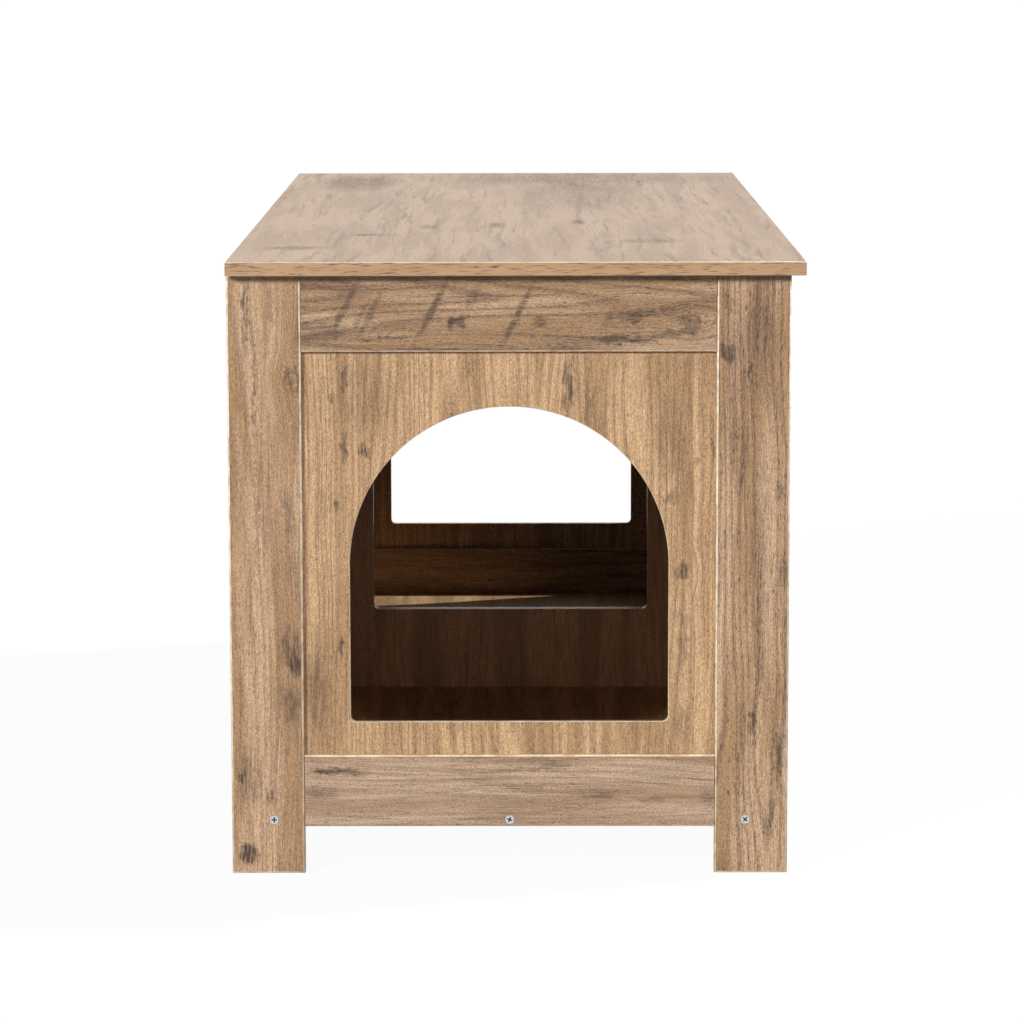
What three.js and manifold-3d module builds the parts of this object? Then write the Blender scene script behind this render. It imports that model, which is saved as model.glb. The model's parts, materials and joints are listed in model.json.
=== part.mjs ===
// Cat litter box cabinet: two framed ends with an arched way in, a divider with the same arch,
// a floor board on a centre foot, a framed front with two inset doors, and a framed back.
// Millimetres, +Z up. The length runs along X and the doors face -Y. The origin lies on the floor,
// at the middle of the whole object's footprint.

import * as THREE from "three";
import { mergeVertices } from "three/addons/utils/BufferGeometryUtils.js";
import Module from "manifold-3d";

const wasm = await Module();
wasm.setup();

// ---------------------------------------------------------------- Driving dimensions

// Overall
const LENGTH = 1200; // of the top board, along X
const TOP_DEPTH = 500;
const HEIGHT = 540;
const TOP_THICKNESS = 12;
const END_OVERHANG = 12; // top board beyond each end frame
const FRONT_OVERHANG = 12; // top board beyond the front frame; the back is flush

// Frames: stiles stand upright and rails lie between them
const FRAME_THICKNESS = 15;
const STILE_WIDTH = 64;
const TOP_RAIL = 67;
const BOTTOM_RAIL = 64;
const LEG_HEIGHT = 42; // stile below the bottom rail
const CENTRE_STILE = 64; // in the middle of the front and of the back
const FRONT_TOP_RAIL = 40;
const DOOR_MEMBER = 56; // stiles and rails of a door

// Panels and the grooves that hold them
const PANEL_THICKNESS = 6;
const GROOVE_DEPTH = 8;
const TENON_SHOULDER = 10; // stile wood left above and below a rail's tenon
const BACK_HOUSING = 5; // depth of the groove in an end's stile for the back panel
const GAP = 0.3; // between pieces that touch

// Boards inside
const FLOOR_THICKNESS = 12;
const DIVIDER_THICKNESS = 12;
const FOOT_RADIUS = 22; // pad of the levelling foot under the middle of the floor board
const FOOT_PAD = 5; // height of the pad, before it narrows to the stem
const FOOT_NECK = 10; // height at which the stem begins
const FOOT_STEM_RADIUS = 10;
const FOOT_FLANGE_RADIUS = 19;
const FOOT_FLANGE = 3; // thickness of the flange under the floor board

// Arched way in, alike in both ends and in the divider
const ARCH_WIDTH = 278;
const ARCH_SILL = 29; // above the bottom rail
const ARCH_CROWN = 48; // panel left between the arch and the top rail
const ARCH_CORNER = 5;

// Floor screws, countersunk, three through each end
const SCREW_SPACING = 207; // from the middle screw to an outer one
const SCREW_HEAD_RADIUS = 4;
const SCREW_SHANK_RADIUS = 2;
const SCREW_LENGTH = 40;
const PILOT_SPARE = 2; // how much deeper than the screw its hole is
const COUNTERSINK = 2.2; // height of the head's cone
const RECESS_WIDTH = 1.1; // of the driver's cross
const RECESS_LENGTH = 5;
const RECESS_DEPTH = 1.5;
const RECESS_TURNS = [0.25, 1.1, 0.6]; // how far each screw was turned, in radians

// Doors, set in between the ends and a little back from the front
const DOOR_GAP = 3; // above, below and beside the latch stile
const DOOR_RECESS = 6; // front plane to door face, so that the hinge knuckles don't stand proud
const KNOB_RADIUS = 14;
const KNOB_FOOT_RADIUS = 7;
const KNOB_NECK_RADIUS = 5;
const KNOB_PROJECTION = 30;
const KNOB_ROUNDING = 2; // of the knob's rim
const KNOB_BORE = 12; // depth of the screw's hole in the knob
const KNOB_SCREW_HEAD = 4.2;
const KNOB_SCREW_HEAD_HEIGHT = 2.4;

// Butt hinges, two on each door
const HINGE_LENGTH = 50;
const HINGE_LEAF = 1.2;
const HINGE_LEAF_WIDTH = 14; // from the knuckles into the gap
const HINGE_LEAF_SPACE = 0.6; // between the two leaves
const HINGE_END_MARGIN = 62; // from the door's end to the hinge's middle
const KNUCKLE_RADIUS = 2.6;
const PIN_RADIUS = 1.2;
const PIN_HEAD = 1; // height of the pin's head above the knuckles
const KNUCKLE_SPACE = 0.4; // between knuckles along the pin

// Magnetic catches
const CATCH_DROP = 70; // from the door's top to the catch's middle
const CATCH_HEIGHT = 14;
const CATCH_DEPTH = 13;
const CATCH_REACH = 28; // behind the door
const CATCH_HOLD = 18; // behind the centre stile
const STRIKE_LENGTH = 20;
const STRIKE_HEIGHT = 12;
const STRIKE_THICKNESS = 1.2;
const STRIKE_SPACE = 0.5; // between the magnet and its strike plate

const ROUND = 24; // sides of a turned piece
const ARCH_STEPS = 56; // chords of the arch's half circle
const CORNER_STEPS = 5;

// ---------------------------------------------------------------- Places worked out from them

const bodyDepth = TOP_DEPTH - FRONT_OVERHANG;
const overallDepth = bodyDepth + Math.max(FRONT_OVERHANG, KNOB_PROJECTION - DOOR_RECESS);
const backPlane = overallDepth / 2;
const frontPlane = backPlane - bodyDepth;
const bodyMiddle = (backPlane + frontPlane) / 2;
const topMiddle = backPlane - TOP_DEPTH / 2;

const frameTop = HEIGHT - TOP_THICKNESS;
const frameHeight = frameTop - GAP;
const railTop = LEG_HEIGHT + BOTTOM_RAIL; // upper edge of every bottom rail
const topRailUnder = frameTop - TOP_RAIL;
const endOuter = LENGTH / 2 - END_OVERHANG;
const endInner = endOuter - FRAME_THICKNESS;
const floorTop = LEG_HEIGHT + FLOOR_THICKNESS;
const insideFront = frontPlane + FRAME_THICKNESS;
const insideBack = backPlane - FRAME_THICKNESS;
const insideDepth = insideBack - insideFront;
const insideMiddle = (insideFront + insideBack) / 2;

const archBottom = railTop + ARCH_SILL;
const archHeight = topRailUnder - ARCH_CROWN - archBottom;
const screwHeight = LEG_HEIGHT + FLOOR_THICKNESS / 2;

const doorFace = frontPlane + DOOR_RECESS;
const hingeGap = 2 * (GAP + HINGE_LEAF) + HINGE_LEAF_SPACE;
const hingeX = endInner - GAP - KNUCKLE_RADIUS;
const hingeY = doorFace - GAP - KNUCKLE_RADIUS;
const doorBottom = railTop + DOOR_GAP;
const doorTop = frameTop - FRONT_TOP_RAIL - DOOR_GAP;
const doorHeight = doorTop - doorBottom;
const doorOuter = endInner - hingeGap; // the door's edge at its hinges
const doorInner = CENTRE_STILE / 2 + DOOR_GAP; // its edge at the latch
const doorWidth = doorOuter - doorInner;
const doorMiddle = (doorOuter + doorInner) / 2;
const knobX = doorInner + DOOR_MEMBER / 2;
const knobZ = (doorBottom + doorTop) / 2;

// ---------------------------------------------------------------- Materials

const finish = (color, roughness, metalness) =>
  new THREE.MeshStandardMaterial({ color, roughness, metalness });
const materials = {
  topLaminate: finish("#c8b6a7", 0.55, 0),
  frameLaminate: finish("#b29273", 0.55, 0),
  panelLaminate: finish("#be9a75", 0.55, 0),
  zincSteel: finish("#c9cdd0", 0.3, 1),
  blackIron: finish("#2a2826", 0.5, 1),
  catchPlastic: finish("#7a5c3e", 0.6, 0),
  blackPlastic: finish("#232323", 0.6, 0),
};

// ---------------------------------------------------------------- Solids

/** The geometry as a solid that can be joined and cut. */
function solidOf(geometry) {
  const bare = geometry.index ? geometry.toNonIndexed() : geometry.clone();
  bare.deleteAttribute("normal");
  bare.deleteAttribute("uv");
  const merged = mergeVertices(bare, 1e-4);
  return new wasm.Manifold(
    new wasm.Mesh({
      numProp: 3,
      vertProperties: merged.attributes.position.array,
      triVerts: new Uint32Array(merged.index.array),
    }),
  );
}

/** The first geometry with the others joined to it and the tools then cut from it. */
function carve(base, joined, tools) {
  let body = solidOf(base);
  for (const geometry of joined) body = body.add(solidOf(geometry));
  for (const geometry of tools) body = body.subtract(solidOf(geometry));
  const mesh = body.getMesh();
  const positions = new Float32Array(mesh.numVert * 3);
  for (let vertex = 0; vertex < mesh.numVert; vertex++) {
    const start = vertex * mesh.numProp;
    positions.set(mesh.vertProperties.subarray(start, start + 3), vertex * 3);
  }
  const indexed = new THREE.BufferGeometry();
  indexed.setAttribute("position", new THREE.BufferAttribute(positions, 3));
  indexed.setIndex(new THREE.BufferAttribute(mesh.triVerts, 1));
  const faceted = indexed.toNonIndexed();
  faceted.computeVertexNormals();
  return faceted;
}

/** A box between two limits on each axis. */
function span([x0, x1], [y0, y1], [z0, z1]) {
  const box = new THREE.BoxGeometry(x1 - x0, y1 - y0, z1 - z0);
  return box.translate((x0 + x1) / 2, (y0 + y1) / 2, (z0 + z1) / 2);
}

/** A turned piece along +Y from a profile of [radius, height] pairs, lowest first. */
function turned(profile) {
  return new THREE.LatheGeometry(
    profile.map(([radius, height]) => new THREE.Vector2(radius, height)),
    ROUND,
  );
}

/** A round rod along +Y, from y0 to y1. */
function rod(radius, y0, y1) {
  return turned([[0, y0], [radius, y0], [radius, y1], [0, y1]]);
}

/** Points of an arc, both ends included. */
function arc(x, y, radius, from, to, steps) {
  return Array.from({ length: steps + 1 }, (_, step) => {
    const angle = from + ((to - from) * step) / steps;
    return new THREE.Vector2(x + radius * Math.cos(angle), y + radius * Math.sin(angle));
  });
}

/** Outline of the arched way in, its sill at y = 0 and its middle at x = 0. */
function archOutline() {
  const half = ARCH_WIDTH / 2;
  const corner = ARCH_CORNER;
  return [
    ...arc(-half + corner, corner, corner, Math.PI, 1.5 * Math.PI, CORNER_STEPS),
    ...arc(half - corner, corner, corner, 1.5 * Math.PI, 2 * Math.PI, CORNER_STEPS),
    ...arc(0, archHeight - half, half, 0, Math.PI, ARCH_STEPS),
  ];
}

/** An upright board in the XZ plane, thick along Y about y = 0, with the arched way in cut through it. */
function archedBoard([x0, x1], [z0, z1], thickness, archX) {
  const shape = new THREE.Shape([
    new THREE.Vector2(x0, z0),
    new THREE.Vector2(x1, z0),
    new THREE.Vector2(x1, z1),
    new THREE.Vector2(x0, z1),
  ]);
  const offset = new THREE.Vector2(archX, archBottom);
  shape.holes.push(new THREE.Path(archOutline().map((point) => point.add(offset))));
  const board = new THREE.ExtrudeGeometry(shape, { depth: thickness, bevelEnabled: false });
  return board.rotateX(Math.PI / 2).translate(0, thickness / 2, 0);
}

// ---------------------------------------------------------------- Frame members
// Each is made in its frame's own axes: x across, the front at -y, z up.

const grooveHalf = PANEL_THICKNESS / 2 + GAP;
const tenonHalf = PANEL_THICKNESS / 2;
const tongue = GROOVE_DEPTH - GAP; // how far a panel or a tenon reaches into its groove

/** A stile from z0 to z1, its middle at x = 0, grooved in the edge that faces `inward`. */
function stile(width, [z0, z1], [grooveLow, grooveHigh], inward, extraCuts = []) {
  const half = width / 2;
  const edge = [inward * (half - GROOVE_DEPTH), inward * (half + 1)].sort((a, b) => a - b);
  const body = span([-half, half], [-FRAME_THICKNESS / 2, FRAME_THICKNESS / 2], [z0, z1]);
  const groove = span(edge, [-grooveHalf, grooveHalf], [grooveLow, grooveHigh]);
  return carve(body, [], [groove, ...extraCuts]);
}

/**
 * A rail between two neighbours `between` apart, its middle at the origin, with a panel groove
 * in each edge listed in `grooved` (+1 upper, -1 lower) and a stub tenon at each end if `tenoned`.
 */
function rail(between, width, grooved, tenoned, extraCuts = []) {
  const end = between / 2 - GAP;
  const half = width / 2;
  const tenonEdge = (edge) =>
    edge * (grooved.includes(edge) ? half - GROOVE_DEPTH : half - TENON_SHOULDER - GAP);
  const body = span([-end, end], [-FRAME_THICKNESS / 2, FRAME_THICKNESS / 2], [-half, half]);
  const tenons = span(
    [-between / 2 - tongue, between / 2 + tongue],
    [-tenonHalf, tenonHalf],
    [tenonEdge(-1), tenonEdge(1)],
  );
  const grooves = grooved.map((edge) =>
    span(
      [-between, between],
      [-grooveHalf, grooveHalf],
      [edge * (half - GROOVE_DEPTH), edge * (half + 1)].sort((a, b) => a - b),
    ),
  );
  return carve(body, tenoned ? [tenons] : [], [...grooves, ...extraCuts]);
}

/** The mortise for a centre stile's tenon, in a rail's upper (+1) or lower (-1) edge. */
function centreMortise(railWidth, edge) {
  const along = CENTRE_STILE / 2 - TENON_SHOULDER;
  const depth = [edge * (railWidth / 2 - GROOVE_DEPTH), edge * (railWidth / 2 + 1)];
  return span([-along, along], [-grooveHalf, grooveHalf], depth.sort((a, b) => a - b));
}

// ---------------------------------------------------------------- Pieces

const cabinet = new THREE.Group();

function addPiece(group, name, geometry, material, x = 0, y = 0, z = 0) {
  const mesh = new THREE.Mesh(geometry, material);
  mesh.name = name;
  mesh.position.set(x, y, z);
  group.add(mesh);
  return mesh;
}

/** The hole for a floor screw, entered from -y at the frame's outer face. */
function screwHole(x) {
  const bore = SCREW_SHANK_RADIUS + GAP;
  const mouth = SCREW_HEAD_RADIUS + GAP;
  const tool = turned([
    [0, -1],
    [mouth, -1],
    [mouth, GAP],
    [bore, GAP + COUNTERSINK],
    [bore, 2 * FRAME_THICKNESS],
    [0, 2 * FRAME_THICKNESS],
  ]);
  return tool.translate(x, -FRAME_THICKNESS / 2, screwHeight);
}

/** A countersunk screw along +y, its head's face at y = 0. */
function screw(turn) {
  const blank = turned([
    [0, 0],
    [SCREW_HEAD_RADIUS, 0],
    [SCREW_SHANK_RADIUS, COUNTERSINK],
    [SCREW_SHANK_RADIUS, SCREW_LENGTH - 2 * SCREW_SHANK_RADIUS],
    [0, SCREW_LENGTH],
  ]);
  const arm = () =>
    span(
      [-RECESS_LENGTH / 2, RECESS_LENGTH / 2],
      [-1, RECESS_DEPTH],
      [-RECESS_WIDTH / 2, RECESS_WIDTH / 2],
    );
  const recess = [arm().rotateY(turn), arm().rotateY(turn + Math.PI / 2)];
  return carve(blank, [], recess);
}

/** One framed end, in a group turned so that its outer face looks along side * X. */
function buildEnd(name, side) {
  const end = new THREE.Group();
  end.position.set(side * (endOuter - FRAME_THICKNESS / 2), bodyMiddle, 0);
  end.rotation.z = (side * Math.PI) / 2;
  cabinet.add(end);

  const across = bodyDepth - 2 * STILE_WIDTH;
  const panelLow = railTop - tongue;
  const panelHigh = topRailUnder + tongue;
  const grooveLow = LEG_HEIGHT + TENON_SHOULDER;
  const grooveHigh = frameTop - TENON_SHOULDER;
  const backX = side * (bodyDepth / 2 - FRAME_THICKNESS / 2);

  for (const [place, at] of [["front", -side], ["back", side]]) {
    const x = at * (bodyDepth / 2 - STILE_WIDTH / 2);
    const housing = span(
      [backX - grooveHalf - x, backX + grooveHalf - x],
      [FRAME_THICKNESS / 2 - BACK_HOUSING, FRAME_THICKNESS],
      [railTop - GROOVE_DEPTH, topRailUnder + GROOVE_DEPTH],
    );
    const cuts = [screwHole(at * SCREW_SPACING - x), ...(place === "back" ? [housing] : [])];
    const upright = stile(STILE_WIDTH, [0, frameHeight], [grooveLow, grooveHigh], -at, cuts);
    addPiece(end, `${name}_${place}_stile`, upright, materials.frameLaminate, x);
  }

  const bottomMiddle = LEG_HEIGHT + BOTTOM_RAIL / 2;
  const middleHole = screwHole(0).translate(0, 0, -bottomMiddle);
  const bottomRail = rail(across, BOTTOM_RAIL, [1], true, [middleHole]);
  addPiece(end, `${name}_bottom_rail`, bottomRail, materials.frameLaminate, 0, 0, bottomMiddle);

  const topHeight = TOP_RAIL - GAP;
  const topMiddleZ = topRailUnder + topHeight / 2;
  const topRail = rail(across, topHeight, [-1], true);
  addPiece(end, `${name}_top_rail`, topRail, materials.frameLaminate, 0, 0, topMiddleZ);

  const panelHalf = across / 2 + tongue;
  const panel = archedBoard([-panelHalf, panelHalf], [panelLow, panelHigh], PANEL_THICKNESS, 0);
  addPiece(end, `${name}_arch_panel`, panel, materials.panelLaminate);

  RECESS_TURNS.forEach((turn, index) => {
    const x = (index - 1) * SCREW_SPACING;
    const y = -FRAME_THICKNESS / 2 + GAP / 2;
    addPiece(end, `${name}_screw_${index + 1}`, screw(turn), materials.zincSteel, x, y, screwHeight);
  });
}

/** Top board, floor board, divider and the foot under the middle. */
function buildBoards() {
  const top = new THREE.BoxGeometry(LENGTH, TOP_DEPTH, TOP_THICKNESS);
  addPiece(cabinet, "top_board", top, materials.topLaminate, 0, topMiddle, HEIGHT - TOP_THICKNESS / 2);

  const floorX = endInner - GAP;
  const floorY = insideDepth / 2 - GAP;
  const pilots = [];
  for (const side of [-1, 1]) {
    for (const place of [-1, 0, 1]) {
      const reach = SCREW_LENGTH - FRAME_THICKNESS + PILOT_SPARE;
      const pilot = rod(SCREW_SHANK_RADIUS + GAP, floorX - reach, floorX + 1);
      pilot.rotateZ((-side * Math.PI) / 2);
      pilots.push(pilot.translate(0, bodyMiddle - insideMiddle + place * SCREW_SPACING, 0));
    }
  }
  const slab = new THREE.BoxGeometry(2 * floorX, 2 * floorY, FLOOR_THICKNESS);
  const floor = carve(slab, [], pilots);
  addPiece(cabinet, "floor_board", floor, materials.panelLaminate, 0, insideMiddle, screwHeight);

  const dividerY = insideDepth / 2 - GAP;
  const divider = archedBoard(
    [-dividerY, dividerY],
    [floorTop + GAP, frameHeight],
    DIVIDER_THICKNESS,
    bodyMiddle - insideMiddle,
  );
  const standing = addPiece(cabinet, "divider_panel", divider, materials.panelLaminate, 0, insideMiddle);
  standing.rotation.z = Math.PI / 2;

  const footTop = LEG_HEIGHT - GAP;
  const foot = turned([
    [0, 0],
    [FOOT_RADIUS, 0],
    [FOOT_RADIUS, FOOT_PAD],
    [FOOT_STEM_RADIUS, FOOT_NECK],
    [FOOT_STEM_RADIUS, footTop - FOOT_FLANGE - 1],
    [FOOT_FLANGE_RADIUS, footTop - FOOT_FLANGE],
    [FOOT_FLANGE_RADIUS, footTop],
    [0, footTop],
  ]).rotateX(Math.PI / 2);
  addPiece(cabinet, "centre_foot", foot, materials.blackPlastic, 0, insideMiddle, 0);
}

/** The fixed front: two rails between the ends and a stile that the doors meet at. */
function buildFront() {
  const front = new THREE.Group();
  front.position.set(0, frontPlane + FRAME_THICKNESS / 2, 0);
  cabinet.add(front);
  const wood = materials.frameLaminate;
  const between = 2 * endInner;

  const bottomMiddle = LEG_HEIGHT + BOTTOM_RAIL / 2;
  const bottomRail = rail(between, BOTTOM_RAIL, [], false, [centreMortise(BOTTOM_RAIL, 1)]);
  addPiece(front, "front_bottom_rail", bottomRail, wood, 0, 0, bottomMiddle);

  const topHeight = FRONT_TOP_RAIL - GAP;
  const topMiddleZ = frameHeight - topHeight / 2;
  const topRail = rail(between, topHeight, [], false, [centreMortise(topHeight, -1)]);
  addPiece(front, "front_top_rail", topRail, wood, 0, 0, topMiddleZ);

  const opening = frameTop - FRONT_TOP_RAIL - railTop;
  const centre = rail(opening, CENTRE_STILE, [], true).rotateY(Math.PI / 2);
  addPiece(front, "front_centre_stile", centre, wood, 0, 0, railTop + opening / 2);
}

/** The back: two rails, a centre stile and two plain panels housed in the ends. */
function buildBack() {
  const back = new THREE.Group();
  back.position.set(0, backPlane - FRAME_THICKNESS / 2, 0);
  cabinet.add(back);
  const wood = materials.frameLaminate;
  const between = 2 * endInner;

  const bottomMiddle = LEG_HEIGHT + BOTTOM_RAIL / 2;
  addPiece(back, "back_bottom_rail", rail(between, BOTTOM_RAIL, [1], false), wood, 0, 0, bottomMiddle);

  const topHeight = TOP_RAIL - GAP;
  const topRail = rail(between, topHeight, [-1], false);
  addPiece(back, "back_top_rail", topRail, wood, 0, 0, topRailUnder + topHeight / 2);

  const opening = topRailUnder - railTop;
  const centre = rail(opening, CENTRE_STILE, [-1, 1], true).rotateY(Math.PI / 2);
  addPiece(back, "back_centre_stile", centre, wood, 0, 0, railTop + opening / 2);

  const innerEdge = CENTRE_STILE / 2 - tongue;
  const outerEdge = endInner + BACK_HOUSING - GAP;
  const panelX = (innerEdge + outerEdge) / 2;
  const panelZ = railTop + opening / 2;
  for (const [place, side] of [["left", -1], ["right", 1]]) {
    const panel = new THREE.BoxGeometry(outerEdge - innerEdge, PANEL_THICKNESS, opening + 2 * tongue);
    addPiece(back, `back_panel_${place}`, panel, materials.panelLaminate, side * panelX, 0, panelZ);
  }
}

/** One leaf of a butt hinge about the pin, which is its z axis; its far face is at x = `outer`. */
function hingeLeaf(side, outer, knuckles) {
  const plateX = [side * outer, side * (outer - HINGE_LEAF)].sort((a, b) => a - b);
  const plateStart = KNUCKLE_RADIUS + GAP;
  const plateEnd = KNUCKLE_RADIUS + HINGE_LEAF_WIDTH;
  const plate = span(plateX, [plateStart, plateEnd], [-HINGE_LENGTH / 2, HINGE_LENGTH / 2]);
  const joined = knuckles.flatMap(([low, high]) => [
    rod(KNUCKLE_RADIUS, low, high).rotateX(Math.PI / 2),
    span(plateX, [0, plateStart + 1], [low, high]),
  ]);
  const bore = rod(PIN_RADIUS + GAP, -HINGE_LENGTH, HINGE_LENGTH).rotateX(Math.PI / 2);
  return carve(plate, joined, [bore]);
}

/** One door in a group whose z axis is its hinge pins; side is -1 at the left, +1 at the right. */
function buildDoor(name, side) {
  const door = new THREE.Group();
  door.position.set(side * hingeX, hingeY, 0);
  cabinet.add(door);
  const wood = materials.frameLaminate;
  const y = doorFace + FRAME_THICKNESS / 2 - hingeY;
  const fromHinge = (x) => side * (x - hingeX); // x is a distance from the cabinet's middle

  const grooveRange = [doorBottom + TENON_SHOULDER, doorTop - TENON_SHOULDER];
  const stiles = [
    ["hinge_stile", doorOuter - DOOR_MEMBER / 2, -side, false],
    ["latch_stile", knobX, side, true],
  ];
  for (const [place, x, inward, hasKnob] of stiles) {
    const reach = FRAME_THICKNESS;
    const hole = rod(SCREW_SHANK_RADIUS + GAP, -reach, reach).translate(0, 0, knobZ);
    const cuts = hasKnob ? [hole] : [];
    const upright = stile(DOOR_MEMBER, [doorBottom, doorTop], grooveRange, inward, cuts);
    addPiece(door, `${name}_${place}`, upright, wood, fromHinge(x), y);
  }

  const across = doorWidth - 2 * DOOR_MEMBER;
  const middle = fromHinge(doorMiddle);
  const upperZ = doorTop - DOOR_MEMBER / 2;
  const lowerZ = doorBottom + DOOR_MEMBER / 2;
  addPiece(door, `${name}_top_rail`, rail(across, DOOR_MEMBER, [-1], true), wood, middle, y, upperZ);
  addPiece(door, `${name}_bottom_rail`, rail(across, DOOR_MEMBER, [1], true), wood, middle, y, lowerZ);
  const panel = new THREE.BoxGeometry(
    across + 2 * tongue,
    PANEL_THICKNESS,
    doorHeight - 2 * DOOR_MEMBER + 2 * tongue,
  );
  addPiece(door, `${name}_panel`, panel, materials.panelLaminate, middle, y, knobZ);

  buildKnob(door, name, fromHinge(knobX));
  buildStrike(door, name, fromHinge(doorInner + CATCH_REACH / 2));
  for (const [place, z] of [
    ["upper", doorTop - HINGE_END_MARGIN],
    ["lower", doorBottom + HINGE_END_MARGIN],
  ]) {
    buildHinge(door, `${name}_${place}_hinge`, side, z);
  }
}

/** Knob on the latch stile and the screw that holds it from behind. */
function buildKnob(door, name, x) {
  const bore = SCREW_SHANK_RADIUS + GAP;
  const flare = KNOB_PROJECTION / 3; // from the foot to the widest ring
  const knob = turned([
    [0, KNOB_BORE],
    [bore, KNOB_BORE],
    [bore, 0],
    [KNOB_FOOT_RADIUS, 0],
    [KNOB_FOOT_RADIUS, flare / 4],
    [KNOB_NECK_RADIUS, flare / 2],
    [KNOB_NECK_RADIUS, flare],
    [KNOB_RADIUS - KNOB_ROUNDING, 2 * flare - 1.5 * KNOB_ROUNDING],
    [KNOB_RADIUS, 2 * flare],
    [KNOB_RADIUS, KNOB_PROJECTION - 2 * KNOB_ROUNDING],
    [KNOB_RADIUS - KNOB_ROUNDING, KNOB_PROJECTION - GAP],
    [0, KNOB_PROJECTION - GAP],
  ]).rotateX(Math.PI);
  const face = doorFace - hingeY;
  addPiece(door, `${name}_knob`, knob, materials.blackIron, x, face - GAP, knobZ);

  const length = FRAME_THICKNESS + KNOB_BORE - PILOT_SPARE;
  const knobScrew = turned([
    [0, -length],
    [SCREW_SHANK_RADIUS, -length],
    [SCREW_SHANK_RADIUS, GAP],
    [KNOB_SCREW_HEAD, GAP],
    [KNOB_SCREW_HEAD, GAP + KNOB_SCREW_HEAD_HEIGHT / 2],
    [KNOB_SCREW_HEAD / 2, GAP + KNOB_SCREW_HEAD_HEIGHT],
    [0, GAP + KNOB_SCREW_HEAD_HEIGHT],
  ]);
  addPiece(
    door, `${name}_knob_screw`, knobScrew, materials.zincSteel, x, face + FRAME_THICKNESS, knobZ,
  );
}

/** Steel plate on the door's inner face, opposite the catch's magnet. */
function buildStrike(door, name, x) {
  const plate = new THREE.BoxGeometry(STRIKE_LENGTH, STRIKE_THICKNESS, STRIKE_HEIGHT);
  const y = doorFace + FRAME_THICKNESS - hingeY + GAP + STRIKE_THICKNESS / 2;
  addPiece(door, `${name}_strike_plate`, plate, materials.zincSteel, x, y, doorTop - CATCH_DROP);
}

/** A hinge: the frame's leaf holds the end knuckles and the pin, the door's leaf the middle one. */
function buildHinge(door, name, side, z) {
  const third = HINGE_LENGTH / 3;
  const half = HINGE_LENGTH / 2;
  const middle = [-third / 2 + KNUCKLE_SPACE / 2, third / 2 - KNUCKLE_SPACE / 2];
  const ends = [
    [-half, -third / 2 - KNUCKLE_SPACE / 2],
    [third / 2 + KNUCKLE_SPACE / 2, half],
  ];
  const steel = materials.blackIron;
  const frameLeaf = hingeLeaf(side, KNUCKLE_RADIUS, ends);
  const doorLeaf = hingeLeaf(side, KNUCKLE_RADIUS - HINGE_LEAF - HINGE_LEAF_SPACE, [middle]);
  addPiece(door, `${name}_frame_leaf`, frameLeaf, steel, 0, 0, z);
  addPiece(door, `${name}_door_leaf`, doorLeaf, steel, 0, 0, z);
  const head = PIN_RADIUS + 3 * GAP;
  const pin = turned([
    [0, -half - GAP - PIN_HEAD],
    [head, -half - GAP - PIN_HEAD],
    [head, -half - GAP],
    [PIN_RADIUS, -half - GAP],
    [PIN_RADIUS, half + GAP],
    [head, half + GAP],
    [head, half + GAP + PIN_HEAD],
    [0, half + GAP + PIN_HEAD],
  ]).rotateX(Math.PI / 2);
  addPiece(door, `${name}_pin`, pin, steel, 0, 0, z);
}

/** Magnetic catch screwed behind the centre stile, its magnet behind the door's latch stile. */
function buildCatch(name, side) {
  const stileEdge = CENTRE_STILE / 2;
  const step = stileEdge + DOOR_GAP / 2;
  const doorBack = doorFace + FRAME_THICKNESS;
  const magnetFace = doorBack + GAP + STRIKE_THICKNESS + STRIKE_SPACE;
  const rear = magnetFace + CATCH_DEPTH;
  const outline = [
    [stileEdge - CATCH_HOLD, insideFront + GAP],
    [step, insideFront + GAP],
    [step, magnetFace],
    [doorInner + CATCH_REACH, magnetFace],
    [doorInner + CATCH_REACH, rear],
    [stileEdge - CATCH_HOLD, rear],
  ].map(([x, y]) => new THREE.Vector2(side * x, y));
  const shape = new THREE.Shape(side > 0 ? outline : outline.reverse());
  const body = new THREE.ExtrudeGeometry(shape, { depth: CATCH_HEIGHT, bevelEnabled: false });
  const z = doorTop - CATCH_DROP - CATCH_HEIGHT / 2;
  addPiece(cabinet, `${name}_catch`, body, materials.catchPlastic, 0, 0, z);
}

// ---------------------------------------------------------------- The cabinet

buildBoards();
buildEnd("left_end", -1);
buildEnd("right_end", 1);
buildFront();
buildBack();
buildDoor("left_door", -1);
buildDoor("right_door", 1);
buildCatch("left", -1);
buildCatch("right", 1);

export default cabinet;
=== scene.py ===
# %% [markdown]
# # A cat litter box cabinet in printed oak
#
# The real cabinet is flat-pack furniture: boards of chipboard faced with a printed oak paper, an edge band
# glued round them, a few black iron fittings and zinc plated screws. The boards, doors and hinges come ready
# made at their real size. This lesson gives them their finish: it eases the sharp edges of the boards, prints
# the oak on them, and turns the small fittings. Everything is in metres, with the doors facing -Y and +Z up.

import json
from math import cos, degrees, pi, radians, sin

import bmesh
import bpy
from mathutils import Matrix, Vector
from mathutils.geometry import tessellate_polygon


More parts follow.
